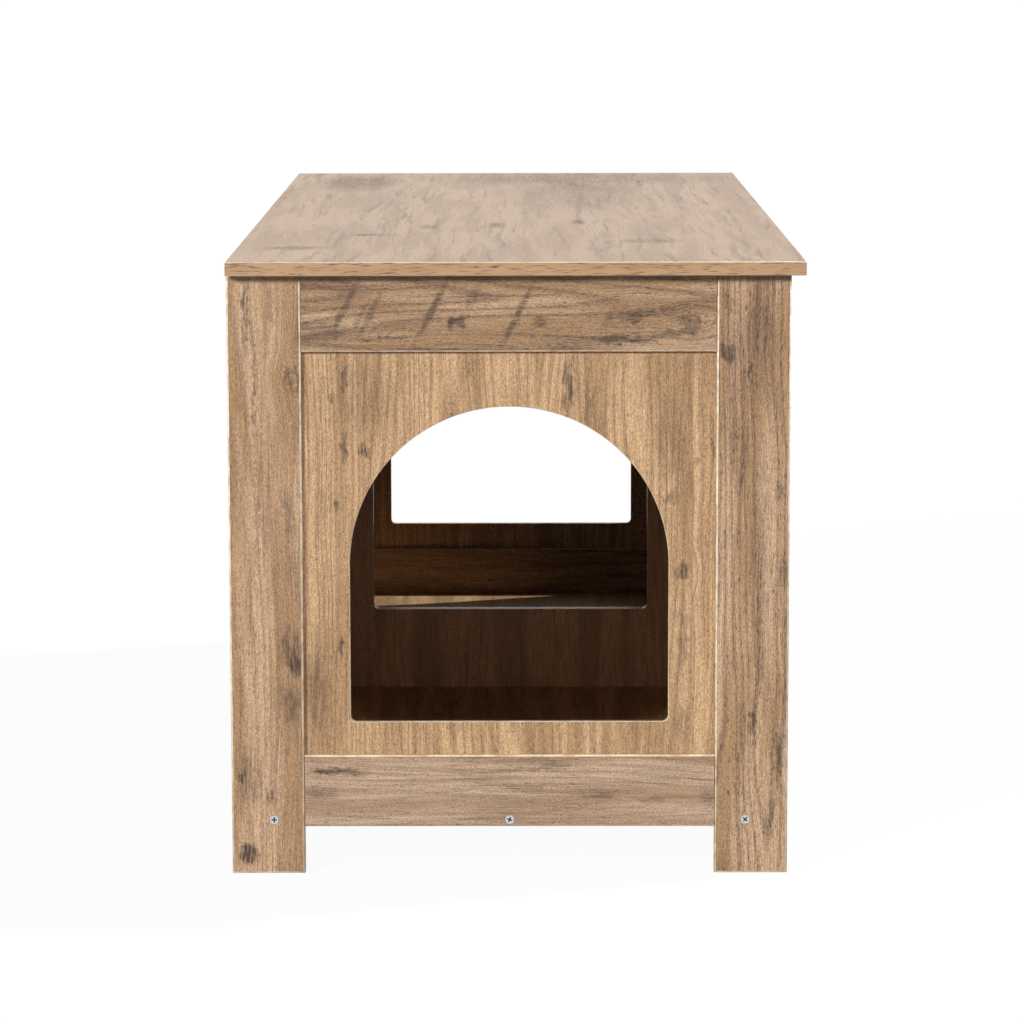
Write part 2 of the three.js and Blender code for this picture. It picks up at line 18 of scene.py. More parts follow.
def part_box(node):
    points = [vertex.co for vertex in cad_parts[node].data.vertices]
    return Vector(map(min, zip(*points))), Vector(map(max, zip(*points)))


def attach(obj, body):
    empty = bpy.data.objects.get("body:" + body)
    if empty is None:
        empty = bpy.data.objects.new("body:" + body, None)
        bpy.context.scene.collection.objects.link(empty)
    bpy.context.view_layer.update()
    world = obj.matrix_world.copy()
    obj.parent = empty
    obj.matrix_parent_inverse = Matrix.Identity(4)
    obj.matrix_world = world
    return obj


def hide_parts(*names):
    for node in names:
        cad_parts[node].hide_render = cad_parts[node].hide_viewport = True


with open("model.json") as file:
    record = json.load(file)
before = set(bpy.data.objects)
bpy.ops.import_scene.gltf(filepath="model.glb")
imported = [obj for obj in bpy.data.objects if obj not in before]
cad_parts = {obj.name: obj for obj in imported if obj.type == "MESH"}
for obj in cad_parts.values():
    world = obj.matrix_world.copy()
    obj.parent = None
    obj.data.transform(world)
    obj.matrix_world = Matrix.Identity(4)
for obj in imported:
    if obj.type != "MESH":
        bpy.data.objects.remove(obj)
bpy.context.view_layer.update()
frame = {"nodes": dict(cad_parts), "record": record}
nodes = frame["nodes"]
MM = 0.001

bodies = frame["record"]["behaviour"]["bodies"]
body_of = {name: body for body, members in bodies.items() for name in members}
slot_of = {part["node"]: part["material_slot"] for part in frame["record"]["subparts"]}

# %% [markdown]
# ## The camera
#
# The picture looks straight at one end of the cabinet, a little from above, from four metres away and through
# a long lens, so the edges that run away from us draw together only gently. A camera could be aimed with a
# constraint, but a plain matrix of three turns keeps the aim exact: the compass heading, then the dip below
# the horizon, then the slight lean of the camera on its stand.

# %% Place the camera
CAMERA_PLACE = Vector((-4.0468, 0.0049, 0.8355))
HEADING = radians(0.076)  # away from +X, towards +Y
DIP = radians(8.455)
LEAN = radians(-0.097)
LENS = 141.45  # millimetres
SENSOR = 36  # millimetres
SIGHT = 200  # metres, past the far edge of the studio

camera_data = bpy.data.cameras.new("long lens")
camera_data.lens = LENS
camera_data.sensor_width = SENSOR
camera_data.clip_end = SIGHT
camera = bpy.data.objects.new("camera", camera_data)
camera.matrix_world = (
    Matrix.Translation(CAMERA_PLACE)
    @ Matrix.Rotation(HEADING - pi / 2, 4, "Z")
    @ Matrix.Rotation(pi / 2 - DIP, 4, "X")
    @ Matrix.Rotation(LEAN, 4, "Z")
)
bpy.context.scene.collection.objects.link(camera)
bpy.context.scene.camera = camera
bpy.context.scene.view_settings.view_transform = "Standard"
field = round(degrees(camera_data.angle), 1)
print("camera", round(CAMERA_PLACE.length, 1), "m from the middle, field", field, "degrees")

# %% [markdown]
# ## One helper for every node
#
# A material in Blender is a small network of nodes. Writing each one out takes four lines: make it, choose
# its options, fill its sockets, link it. This helper does all four. An input that is given a socket is
# linked, and any other value is typed into the socket.

# %% A helper for nodes
def add(tree, kind, inputs=None, **options):
    """Adds a node of that kind, with its options set and its inputs filled or linked."""
    made = tree.nodes.new(kind)
    for name, value in options.items():
        setattr(made, name, value)
    for socket, value in (inputs or {}).items():
        if isinstance(value, bpy.types.NodeSocket):
            tree.links.new(value, made.inputs[socket])
        else:
            made.inputs[socket].default_value = value
    return made


# %% [markdown]
# ## Colours and empty materials
#
# Colours are written as the sRGB hex values that a paint chart would give, so a helper turns them into the
# linear light values that the renderer counts in, by the curve of the sRGB standard. Two more helpers open an
# empty material and close it with its shader.

# %% Helpers for colours and materials
def linear(hex_colour):
    """'#rrggbb' as linear red, green and blue, with full alpha."""
    shares = [int(hex_colour[at:at + 2], 16) / 255 for at in (1, 3, 5)]
    return [*(s / 12.92 if s <= 0.04045 else ((s + 0.055) / 1.055) ** 2.4 for s in shares), 1.0]


def new_material(name):
    """An empty node material and its tree."""
    material = bpy.data.materials.new(name)
    material.use_nodes = True
    material.node_tree.nodes.clear()
    return material, material.node_tree


def finish_with(tree, shader):
    """Makes a shader the surface of its material."""
    add(tree, "ShaderNodeOutputMaterial", {"Surface": shader.outputs[0]})


print("middle grey #808080 is", round(linear("#808080")[0], 3), "of plain white in linear light")

# %% [markdown]
# ## The studio
#
# Furniture of this kind is photographed on a white floor that runs up into a white wall. Turning lamps up
# until the floor clips would wash out the oak as well. Instead the floor and the sky have two answers: to the
# camera, and to gloss that mirrors them, they are white, and to soft light they are a plain studio that gives
# little back, because the photograph's thin shadows are nearly black. A little of the floor's true shading is
# kept, so the cabinet still has its shadow.

# %% Tell direct looks from soft light
SHADOW_SHARE = 0.05  # how much of the floor's true shading the camera sees
SKY_LIGHT = 0.05  # how much soft light the sky gives


def seen_directly(tree):
    """1 for rays from the camera, from gloss and through glass, else 0."""
    path = add(tree, "ShaderNodeLightPath").outputs
    gloss = add(tree, "ShaderNodeMath", {0: path["Is Camera Ray"], 1: path["Is Glossy Ray"]},
                operation="MAXIMUM")
    return add(tree, "ShaderNodeMath", {0: gloss.outputs[0], 1: path["Is Transmission Ray"]},
               operation="MAXIMUM").outputs[0]


print("the camera sees", SHADOW_SHARE, "of the floor's shading")

# %% Lay the white floor
FLOOR_SIZE = 160.0
FLOOR_BELOW = 0.0004  # so that the floor and the soles of the legs don't share a plane


def studio_floor():
    """Matt vinyl: white where the camera sees it, but for the shadow."""
    material, tree = new_material("white studio floor")
    matt = add(tree, "ShaderNodeBsdfDiffuse", {"Color": linear("#606060")})
    shade = add(tree, "ShaderNodeBsdfDiffuse", {"Color": [SHADOW_SHARE] * 3 + [1]})
    glow = add(tree, "ShaderNodeEmission", {"Color": (1, 1, 1, 1), "Strength": 1 - SHADOW_SHARE})
    white = add(tree, "ShaderNodeAddShader", {0: glow.outputs[0], 1: shade.outputs[0]})
    both = add(tree, "ShaderNodeMixShader",
               {0: seen_directly(tree), 1: matt.outputs[0], 2: white.outputs[0]})
    finish_with(tree, both)
    return material


floor_mesh = bpy.data.meshes.new("studio floor")
half = FLOOR_SIZE / 2
corners = [(-half, -half, 0), (half, -half, 0), (half, half, 0), (-half, half, 0)]
floor_mesh.from_pydata(corners, [], [(0, 1, 2, 3)])
floor_mesh.materials.append(studio_floor())
floor = bpy.data.objects.new("studio_floor", floor_mesh)
floor.location.z = -FLOOR_BELOW
bpy.context.scene.collection.objects.link(floor)
print("floor", FLOOR_SIZE, "m wide")

# %% Hang the pale sky
sky = bpy.data.worlds.new("pale sky")
sky.use_nodes = True
sky.node_tree.nodes.clear()
sky_strength = add(sky.node_tree, "ShaderNodeMapRange",
                   {"Value": seen_directly(sky.node_tree), "To Min": SKY_LIGHT, "To Max": 1.0})
sky_light = add(sky.node_tree, "ShaderNodeBackground",
                {"Color": (1, 1, 1, 1), "Strength": sky_strength.outputs[0]})
add(sky.node_tree, "ShaderNodeOutputWorld", {"Surface": sky_light.outputs[0]})
bpy.context.scene.world = sky
print("sky gives", SKY_LIGHT, "of a plain level")

# %% [markdown]
# ## The lamps
#
# Two soft boxes stand low on either side of the camera. From there they leave the thin dark lines under the
# top and beside the stiles, and hardly reach the inside through the arch. A window lamp stands higher and
# harder beyond the far end, on the doors' side: it lights the top and the doors, and through the far arch it
# draws a bright wedge on the floor inside. A white card beside the camera sends a trace of light straight
# into the arch. All of them are suns, whose light is equally strong everywhere, so the white floor stays
# even. A sheet of white paper that faces a lamp squarely would show that lamp's share of plain white.

# %% Hang the lamps
def hang_lamp(name, towards, spread, share):
    """A lamp in that direction, that many degrees wide. Returns its share on the photographed end."""
    data = bpy.data.lights.new(name, "SUN")
    data.angle = radians(spread)
    data.energy = share * pi
    lamp = bpy.data.objects.new(name, data)
    lamp.rotation_mode = "QUATERNION"
    lamp.rotation_quaternion = Vector(towards).to_track_quat("Z", "Y")
    bpy.context.scene.collection.objects.link(lamp)
    return share * max(0.0, -Vector(towards).normalized().x)


on_the_end = [
    hang_lamp("left_soft_box", towards=(-1, 0.8, 0.54), spread=14, share=0.88),
    hang_lamp("right_soft_box", towards=(-1, -0.8, 0.5), spread=14, share=0.36),
    hang_lamp("window_lamp", towards=(0.34, -0.92, 1), spread=1, share=0.95),
    hang_lamp("white_card", towards=(-1, 0, 0.12), spread=40, share=0.018),
]
print("lamps give the photographed end", round(sum(on_the_end), 2), "of a plain level")

# %% [markdown]
# ## Printed oak
#
# The faces of the boards are paper printed with a picture of weathered oak, pressed under melamine resin. The
# picture is repeated at life size: tan wood with brown bands a few millimetres wide, hair-fine fibres, short
# dark pores, and a speckle where the saw tore the grain. A photograph could be wrapped on, but noise that is
# drawn out along the grain gives the same marks at any size and never repeats. A node group holds the
# picture. Its coordinates are millimetres along the grain, across it and through the board, so every noise is
# scaled by the real length and width of the marks that it makes.

# %% Open the oak print
MIX_A, MIX_B, MIX_COLOUR = 6, 7, 2  # the colour sockets of a Mix node


def streaks(tree, grain, long, wide, detail=2.0, rough=0.5):
    """Noise drawn out along the grain, whose marks are about long by wide millimetres."""
    drawn = add(tree, "ShaderNodeVectorMath", {0: grain, 1: (1 / long, 1 / wide, 1 / wide)},
                operation="MULTIPLY")
    return add(tree, "ShaderNodeTexNoise",
               {"Vector": drawn.outputs[0], "Scale": 1.0, "Detail": detail, "Roughness": rough}).outputs[0]


oak = bpy.data.node_groups.new("oak print", "ShaderNodeTree")
for name, kind in [("Grain", "Vector"), ("Light", "Color"), ("Middle", "Color"), ("Brown", "Color"),
                   ("Dark", "Color"), ("Bands", "Float"), ("Rings", "Float"), ("Pores", "Float"),
                   ("Stain", "Float"), ("Contrast", "Float"), ("Tone", "Float")]:
    oak.interface.new_socket(name=name, in_out="INPUT", socket_type="NodeSocket" + kind)
for name, kind in [("Colour", "Color"), ("Roughness", "Float"), ("Height", "Float")]:
    oak.interface.new_socket(name=name, in_out="OUTPUT", socket_type="NodeSocket" + kind)
given = add(oak, "NodeGroupInput").outputs
print("oak print is given", ", ".join(socket.name for socket in given if socket.name))

# %% [markdown]
# ### Bands and growth rings
#
# A plank's grain is never quite straight, so the coordinates wander first. Wide soft bands of brown and the
# thin lines of the growth rings then follow that flow. The rings are one very long noise, folded back and
# forth, as the rings of a sawn trunk are.

# %% Draw the bands and the rings
RINGS_PER_NOISE = 20.0

wander = streaks(oak, given["Grain"], long=190, wide=60, detail=1)
flow = add(oak, "ShaderNodeVectorMath", {0: wander, 1: (0, 18, 0), 2: given["Grain"]},
           operation="MULTIPLY_ADD").outputs[0]
soft_bands = streaks(oak, flow, long=260, wide=26, detail=3)
figure = add(oak, "ShaderNodeMapRange", {"Value": soft_bands, "From Min": 0.4, "From Max": 0.6},
             interpolation_type="SMOOTHSTEP")
brown_bands = streaks(oak, flow, long=170, wide=7, detail=5, rough=0.65)
bands = add(oak, "ShaderNodeMapRange", {"Value": brown_bands, "From Min": 0.5, "From Max": 0.7,
                                        "To Max": given["Bands"]}, interpolation_type="SMOOTHSTEP")
growth = add(oak, "ShaderNodeMath",
             {0: streaks(oak, flow, long=1100, wide=60, detail=1, rough=0.3), 1: RINGS_PER_NOISE},
             operation="MULTIPLY")
ring = add(oak, "ShaderNodeMath", {0: growth.outputs[0], 1: 0.5}, operation="PINGPONG")
ring_lines = add(oak, "ShaderNodeMapRange", {"Value": ring.outputs[0], "From Min": 0.2, "From Max": 0.5,
                                             "To Max": given["Rings"]}, interpolation_type="SMOOTHSTEP")
veins = add(oak, "ShaderNodeMath", {0: bands.outputs[0], 1: ring_lines.outputs[0]}, operation="MAXIMUM")
print("bands and rings:", len(oak.nodes), "nodes so far")

# %% [markdown]
# ### Pores and stains
#
# Oak has short open pores. They are scattered everywhere and crowd together in the veins and the stains, so a
# noise of short dashes is lifted there before it is cut off at a threshold. A stain is broken up by a coarser
# noise, because ink that has soaked into wood is never even.

# %% Draw the pores and the stains
CROWDING = 0.145  # how far veins and stains lift the dashes

dashes = streaks(oak, flow, long=5.5, wide=0.9, detail=2, rough=0.6)
crowd = add(oak, "ShaderNodeMath", {0: veins.outputs[0], 1: given["Stain"]}, operation="ADD")
crowded = add(oak, "ShaderNodeMath", {0: crowd.outputs[0], 1: CROWDING, 2: dashes}, operation="MULTIPLY_ADD")
pores = add(oak, "ShaderNodeMapRange", {"Value": crowded.outputs[0], "From Min": 0.58, "From Max": 0.76,
                                        "To Max": given["Pores"]})
soaked = streaks(oak, flow, long=20, wide=1.7, detail=3, rough=0.7)
blotch = add(oak, "ShaderNodeMapRange", {"Value": soaked, "From Min": 0.36, "From Max": 0.6,
                                         "To Min": 0.3, "To Max": 1.4})
stain_ink = add(oak, "ShaderNodeMath", {0: given["Stain"], 1: blotch.outputs[0]}, operation="MULTIPLY")
ink = add(oak, "ShaderNodeMath", {0: pores.outputs[0], 1: stain_ink.outputs[0]}, operation="MAXIMUM",
          use_clamp=True)
print("pores and stains:", len(oak.nodes), "nodes so far")

# %% [markdown]
# ### Four colours, fibres and sheen
#
# A decor printer lays a few inks over one another. Here they are pale wood, middle wood, brown veins and dark
# ink. Hair-fine fibres and a speckle then lighten and darken everything. The resin over dark ink is a little
# less glossy, and the fibres and pores are pressed into it.

# %% Lay the colours
tan = add(oak, "ShaderNodeMix", {0: figure.outputs[0], MIX_A: given["Light"], MIX_B: given["Middle"]},
          data_type="RGBA").outputs[MIX_COLOUR]
veined = add(oak, "ShaderNodeMix", {0: veins.outputs[0], MIX_A: tan, MIX_B: given["Brown"]},
             data_type="RGBA").outputs[MIX_COLOUR]
inked = add(oak, "ShaderNodeMix", {0: ink.outputs[0], MIX_A: veined, MIX_B: given["Dark"]},
            data_type="RGBA").outputs[MIX_COLOUR]
print("four colours:", len(oak.nodes), "nodes so far")

# %% Add the fibres, the speckle and the sheen
FIBRE_SWING = 0.38  # how far the fibres lighten or darken the wood
SPECKLE_SWING = 0.42

fibres = streaks(oak, flow, long=34, wide=0.8, detail=2, rough=0.7)
speckle = streaks(oak, given["Grain"], long=1.8, wide=0.75, detail=1)
swings = [add(oak, "ShaderNodeMapRange", {"Value": noise, "From Min": 0.25, "From Max": 0.75,
                                          "To Min": -swing, "To Max": swing}, clamp=False).outputs[0]
          for noise, swing in ((fibres, FIBRE_SWING), (speckle, SPECKLE_SWING))]
swung = add(oak, "ShaderNodeMath", {0: swings[0], 1: swings[1]}, operation="ADD")
lightness = add(oak, "ShaderNodeMath", {0: swung.outputs[0], 1: given["Contrast"], 2: 1.0},
                operation="MULTIPLY_ADD")
toned = add(oak, "ShaderNodeMath", {0: lightness.outputs[0], 1: given["Tone"]}, operation="MULTIPLY")
printed = add(oak, "ShaderNodeHueSaturation", {"Value": toned.outputs[0], "Color": inked})
satin = add(oak, "ShaderNodeMapRange", {"Value": ink.outputs[0], "To Min": 0.45, "To Max": 0.62})
emboss = add(oak, "ShaderNodeMath", {0: fibres, 1: ink.outputs[0]}, operation="SUBTRACT")
add(oak, "NodeGroupOutput", {"Colour": printed.outputs[0], "Roughness": satin.outputs[0],
                             "Height": emboss.outputs[0]})
print("oak print:", len(oak.nodes), "nodes")

# %% [markdown]
# ## One print for each board
#
# Every board is cut from another part of the printed sheet. A material per board adds what the photograph
# shows in that place, and the helpers for that come first: knots that the grain parts round, dark stains and
# the slanting strokes of a saw, and the seams of the narrow planks that the picture is made of.
#
# ### Knots
#
# A knot is where a branch left the trunk. Near it the coordinates are pulled towards its middle line, which
# makes the bands of the print bulge round it. Its heart is a few dark rings that fade outwards.

# %% Part the grain round knots
KNOT_SHAPE = 0.75  # a knot is longer along the grain than across it, as 1 to this
KNOT_REACH = 4.0  # radii from the middle of a knot to where the grain is straight again
KNOT_PULL = 0.85
KNOT_RING = 0.55  # radii from one ring of the heart to the next


def darker(tree, one, other):
    """The darker of two kinds of ink, where either may be missing."""
    if one is None or other is None:
        return other if one is None else one
    return add(tree, "ShaderNodeMath", {0: one, 1: other}, operation="MAXIMUM").outputs[0]


def knot_ink(tree, far):
    """How dark a knot's heart is, that many radii from its middle."""
    ringed = add(tree, "ShaderNodeMath", {0: far, 1: KNOT_RING}, operation="PINGPONG")
    dark = add(tree, "ShaderNodeMapRange",
               {"Value": ringed.outputs[0], "From Min": 0.15, "From Max": 0.5, "To Min": 0.75, "To Max": 0.1},
               interpolation_type="SMOOTHSTEP")
    fades = add(tree, "ShaderNodeMapRange",
                {"Value": far, "From Min": 0.6, "From Max": 1.5, "To Min": 1.0, "To Max": 0.0},
                interpolation_type="SMOOTHSTEP")
    return add(tree, "ShaderNodeMath", {0: dark.outputs[0], 1: fades.outputs[0]},
               operation="MULTIPLY").outputs[0]


def part_round_knots(tree, grain, knots):
    """Grain that flows round each knot (along, across, radius), and the ink of all their hearts."""
    hearts = None
    for along, across, radius in knots:
        away = add(tree, "ShaderNodeVectorMath", {0: grain, 1: (along, across, 0)}, operation="SUBTRACT")
        oval = add(tree, "ShaderNodeVectorMath",
                   {0: away.outputs[0], 1: (KNOT_SHAPE / radius, 1 / radius, 0)}, operation="MULTIPLY")
        far = add(tree, "ShaderNodeVectorMath", {0: oval.outputs[0]}, operation="LENGTH").outputs["Value"]
        near = add(tree, "ShaderNodeMapRange",
                   {"Value": far, "From Max": KNOT_REACH, "To Min": KNOT_PULL, "To Max": 0.0},
                   interpolation_type="SMOOTHSTEP")
        sideways = add(tree, "ShaderNodeVectorMath", {0: away.outputs[0], 1: (0, 1, 0)},
                       operation="MULTIPLY")
        pull = add(tree, "ShaderNodeVectorMath", {0: sideways.outputs[0], "Scale": near.outputs[0]},
                   operation="SCALE")
        grain = add(tree, "ShaderNodeVectorMath", {0: grain, 1: pull.outputs[0]},
                    operation="SUBTRACT").outputs[0]
        hearts = darker(tree, hearts, knot_ink(tree, far))
    return grain, hearts


print("a knot bends the grain within", KNOT_REACH, "of its radii")

# %% [markdown]
# ### Stains and planks
#
# A stain is an oval that is dark in its middle and fades to nothing. Its edge would be too smooth as a plain
# ellipse, so the coordinates are shaken by a noise first: far for a stain, hardly at all for a saw stroke,
# which is thin. Where the print is made of narrow planks, each point counts the seams below it, and that
# number later moves it to another part of the sheet.

# %% Fray, stain and divide the print
STAIN_CORE = 0.25  # the share of a stain that is evenly dark
SHAKE_MARK = 9  # millimetres from one fray to the next
SHAKE_ACROSS = 0.65  # places are shaken less across the grain than along it


def shaken(tree, grain, far):
    """Grain coordinates moved about by up to that many millimetres."""
    noise = add(tree, "ShaderNodeTexNoise", {"Vector": grain, "Scale": 1 / SHAKE_MARK, "Detail": 3.0})
    pushed = add(tree, "ShaderNodeVectorMath",
                 {0: noise.outputs[1], 1: (2 * far, 2 * SHAKE_ACROSS * far, 0), 2: grain},
                 operation="MULTIPLY_ADD")
    return add(tree, "ShaderNodeVectorMath", {0: pushed.outputs[0], 1: (far, SHAKE_ACROSS * far, 0)},
               operation="SUBTRACT").outputs[0]


def stain(tree, grain, places):
    """Soft dark patches: along, across, length, width, strength, and perhaps a lean in degrees."""
    ink = None
    for along, across, length, width, strength, *lean in places:
        away = add(tree, "ShaderNodeVectorMath", {0: grain, 1: (along, across, 0)}, operation="SUBTRACT")
        if lean:
            away = add(tree, "ShaderNodeVectorRotate", {0: away.outputs[0], "Angle": -radians(lean[0])},
                       rotation_type="Z_AXIS")
        oval = add(tree, "ShaderNodeVectorMath", {0: away.outputs[0], 1: (2 / length, 2 / width, 0)},
                   operation="MULTIPLY")
        far = add(tree, "ShaderNodeVectorMath", {0: oval.outputs[0]}, operation="LENGTH").outputs["Value"]
        patch = add(tree, "ShaderNodeMapRange",
                    {"Value": far, "From Min": STAIN_CORE, "To Min": strength, "To Max": 0.0},
                    interpolation_type="SMOOTHSTEP")
        ink = darker(tree, ink, patch.outputs[0])
    return ink


def plank_of(tree, grain, seams):
    """How many seams (positions across the grain) lie below each point."""
    across = add(tree, "ShaderNodeSeparateXYZ", {0: grain}).outputs["Y"]
    count = 0.0
    for seam in seams:
        past = add(tree, "ShaderNodeMath", {0: across, 1: seam}, operation="GREATER_THAN")
        count = add(tree, "ShaderNodeMath", {0: past.outputs[0], 1: count}, operation="ADD").outputs[0]
    return count


print("stained edges fray every", SHAKE_MARK, "mm")

# %% [markdown]
# ## Three shades of the print
#
# The frames, the thin panels and the top are cut from three sheets: a grey-brown one, a honey one and a
# rosier one with less contrast. Each is four colours that a colour chart would give: the pale wood, the
# middle wood, the brown of the bands and the near-black brown of the pores. The other numbers say how strong
# each kind of mark is.

# %% Mix the three shades
PRINTS = {
    "frame_laminate": dict(Light="#c7a483", Middle="#a88561", Brown="#83644a", Dark="#46342a",
                           Bands=0.6, Rings=0.2, Pores=0.7, Contrast=1.0, Tone=1.0),
    "panel_laminate": dict(Light="#cca67e", Middle="#ae8a64", Brown="#8e6b4a", Dark="#4f3a2b",
                           Bands=0.55, Rings=0.2, Pores=0.65, Contrast=1.0, Tone=1.0),
    "top_laminate": dict(Light="#b0947b", Middle="#9f836a", Brown="#856b55", Dark="#54443a",
                         Bands=0.7, Rings=0.0, Pores=0.5, Contrast=0.6, Tone=0.91),
}
print("shades for", ", ".join(PRINTS))

# %% [markdown]
# ## Melamine-faced board
#
# The grain runs along a board: up a stile, level in a rail, along the length of the top. Each board's name
# tells which it is, so the three axes are read from the name. The skin is melamine resin, which is satin and
# clear. To the eye that gives a soft sheen over the picture, broken by the pores that the press plate
# embossed. The coordinates could be a UV map, but a board's own millimetres need no unwrapping.

# %% Find the grain of a board
def grain_of(name):
    """The axes along the grain, across it and through the board."""
    if name in ("top_board", "floor_board"):
        return "xyz"
    through = "x" if "_end_" in name or name == "divider_panel" else "y"
    level = "y" if through == "x" else "x"
    return (level + "z" if "rail" in name else "z" + level) + through


def board_grain(tree, axes):
    """Millimetres along the grain, across it and through the board."""
    place = add(tree, "ShaderNodeTexCoord").outputs["Object"]
    metres = add(tree, "ShaderNodeSeparateXYZ", {0: place}).outputs
    in_order = add(tree, "ShaderNodeCombineXYZ", {at: metres[axis.upper()] for at, axis in enumerate(axes)})
    return add(tree, "ShaderNodeVectorMath", {0: in_order.outputs[0], 1: (1 / MM,) * 3},
               operation="MULTIPLY").outputs[0]


print("the grain of a stile runs along", grain_of("left_end_front_stile")[0])

# %% Print one board
SHEET_STEP = (613.0, 271.0, 97.0)  # millimetres on the printed sheet from one board to the next
EMBOSS_DEPTH = 0.06 * MM
STAIN_SHAKE = 11  # millimetres
STROKE_SHAKE = 2


def melamine_oak(name, sheet, knots=(), stains=(), strokes=(), seams=(), **print_settings):
    """Printed oak under melamine resin: satin, IOR 1.5, over embossed pores."""
    material, tree = new_material("melamine oak " + name)
    grain = board_grain(tree, grain_of(name))
    ink = darker(tree, stain(tree, shaken(tree, grain, STAIN_SHAKE), stains) if stains else None,
                 stain(tree, shaken(tree, grain, STROKE_SHAKE), strokes) if strokes else None)
    if seams:
        grain = add(tree, "ShaderNodeVectorMath", {0: plank_of(tree, grain, seams), 1: SHEET_STEP, 2: grain},
                    operation="MULTIPLY_ADD").outputs[0]
    grain, hearts = part_round_knots(tree, grain, knots)
    ink = darker(tree, ink, hearts)
    moved = add(tree, "ShaderNodeVectorMath", {0: grain, 1: Vector(SHEET_STEP) * sheet}, operation="ADD")
    settings = dict(PRINTS[slot_of[name]], **print_settings)
    sockets = {key: linear(value) if isinstance(value, str) else value for key, value in settings.items()}
    picture = add(tree, "ShaderNodeGroup", {"Grain": moved.outputs[0], "Stain": 0.0 if ink is None else ink,
                                            **sockets}, node_tree=oak).outputs
    relief = add(tree, "ShaderNodeBump", {"Height": picture["Height"], "Distance": EMBOSS_DEPTH})
    resin = add(tree, "ShaderNodeBsdfPrincipled", {"Base Color": picture["Colour"], "IOR": 1.5,
                                                   "Roughness": picture["Roughness"],
                                                   "Normal": relief.outputs[0]})
    finish_with(tree, resin)
    return material


print("the press plate embosses the pores by", round(EMBOSS_DEPTH / MM, 2), "mm")

# %% [markdown]
# ## The edge band and the scraped arris
#
# A strip of ABS plastic, also printed as oak, is glued round each board's edge. It is warmer than the faces
# and has fine dark dashes along it. Where a scraper has eased its two corners, the print is gone and the pale
# plastic shows as a thin cream line, which is what draws the outline of every board in the photograph.

# %% Print the edge band
def abs_edge_band(axis):
    """Printed ABS strip whose grain runs along that axis: IOR 1.5, a little glossier than the faces."""
    material, tree = new_material("ABS edge band along " + axis)
    grain = board_grain(tree, axis + "".join(other for other in "xyz" if other != axis))
    tone = streaks(tree, grain, long=90, wide=7, detail=3)
    dashed = streaks(tree, grain, long=14, wide=0.9, detail=2, rough=0.6)
    dashes = add(tree, "ShaderNodeMapRange", {"Value": dashed, "From Min": 0.54, "From Max": 0.68}).outputs[0]
    honey = add(tree, "ShaderNodeMix", {0: tone, MIX_A: linear("#cca984"), MIX_B: linear("#a67f5a")},
                data_type="RGBA").outputs[MIX_COLOUR]
    strip = add(tree, "ShaderNodeMix", {0: dashes, MIX_A: honey, MIX_B: linear("#71523a")},
                data_type="RGBA").outputs[MIX_COLOUR]
    satin = add(tree, "ShaderNodeMapRange", {"Value": dashes, "To Min": 0.36, "To Max": 0.5})
    relief = add(tree, "ShaderNodeBump", {"Height": dashes, "Distance": -EMBOSS_DEPTH})
    plastic = add(tree, "ShaderNodeBsdfPrincipled", {"Base Color": strip, "IOR": 1.5,
                                                     "Roughness": satin.outputs[0],
                                                     "Normal": relief.outputs[0]})
    finish_with(tree, plastic)
    return material


edge_bands = {axis: abs_edge_band(axis) for axis in "xyz"}
print("edge bands along", ", ".join(edge_bands))

# %% Lay the cream plastic bare
SMEAR_MARK = 10 * MM


def scraped_abs():
    """Cream ABS laid bare by the scraper, smeared with a little of the print."""
    material, tree = new_material("scraped ABS arris")
    place = add(tree, "ShaderNodeTexCoord").outputs["Object"]
    smear = add(tree, "ShaderNodeTexNoise",
                {"Vector": place, "Scale": 1 / SMEAR_MARK, "Detail": 3.0}).outputs[0]
    worn = add(tree, "ShaderNodeMapRange", {"Value": smear, "From Min": 0.42, "From Max": 0.66}).outputs[0]
    cream = add(tree, "ShaderNodeMix", {0: worn, MIX_A: linear("#f0dfc6"), MIX_B: linear("#cfb292")},
                data_type="RGBA").outputs[MIX_COLOUR]
    satin = add(tree, "ShaderNodeMapRange", {"Value": smear, "To Min": 0.4, "To Max": 0.6})
    relief = add(tree, "ShaderNodeBump", {"Height": smear, "Distance": EMBOSS_DEPTH})
    plastic = add(tree, "ShaderNodeBsdfPrincipled", {"Base Color": cream, "IOR": 1.5,
                                                     "Roughness": satin.outputs[0],
                                                     "Normal": relief.outputs[0]})
    finish_with(tree, plastic)
    return material


arris = scraped_abs()
print("scraped edges smeared every", round(SMEAR_MARK / MM), "mm")

# %% [markdown]
# ## Easing the boards
#
# The boards arrive with corners as sharp as a drawing's. A Bevel modifier would round every one, also those
# of the screw holes, mortises and grooves, which a factory leaves sharp. So each board is copied into a
# bmesh, its triangles are merged back into whole faces, and only the corners between a wide face and an
# outside edge, or the edge of an opening, are bevelled.

# %% Choose the corners to ease
TOUCH = 0.02 * MM  # places that differ by less are the same
FLAT = radians(0.4)  # triangles that meet at less than this are one face
SHARP = radians(30)  # corners that turn by more than this are sharp
SQUARE = 0.9  # the share of a face's normal along an axis, from which the face is square to it


def welded(name):
    """The mesh of a loaded piece, with its triangles merged back into whole faces."""
    mesh = bmesh.new()
    mesh.from_mesh(nodes[name].data)
    bmesh.ops.remove_doubles(mesh, verts=mesh.verts, dist=TOUCH / 2)
    bmesh.ops.dissolve_limit(mesh, angle_limit=FLAT, verts=mesh.verts, edges=mesh.edges)
    return mesh


def is_sharp(edge):
    """True for a sharp corner that points outwards."""
    return len(edge.link_faces) == 2 and edge.is_convex and edge.calc_face_angle(0) > SHARP


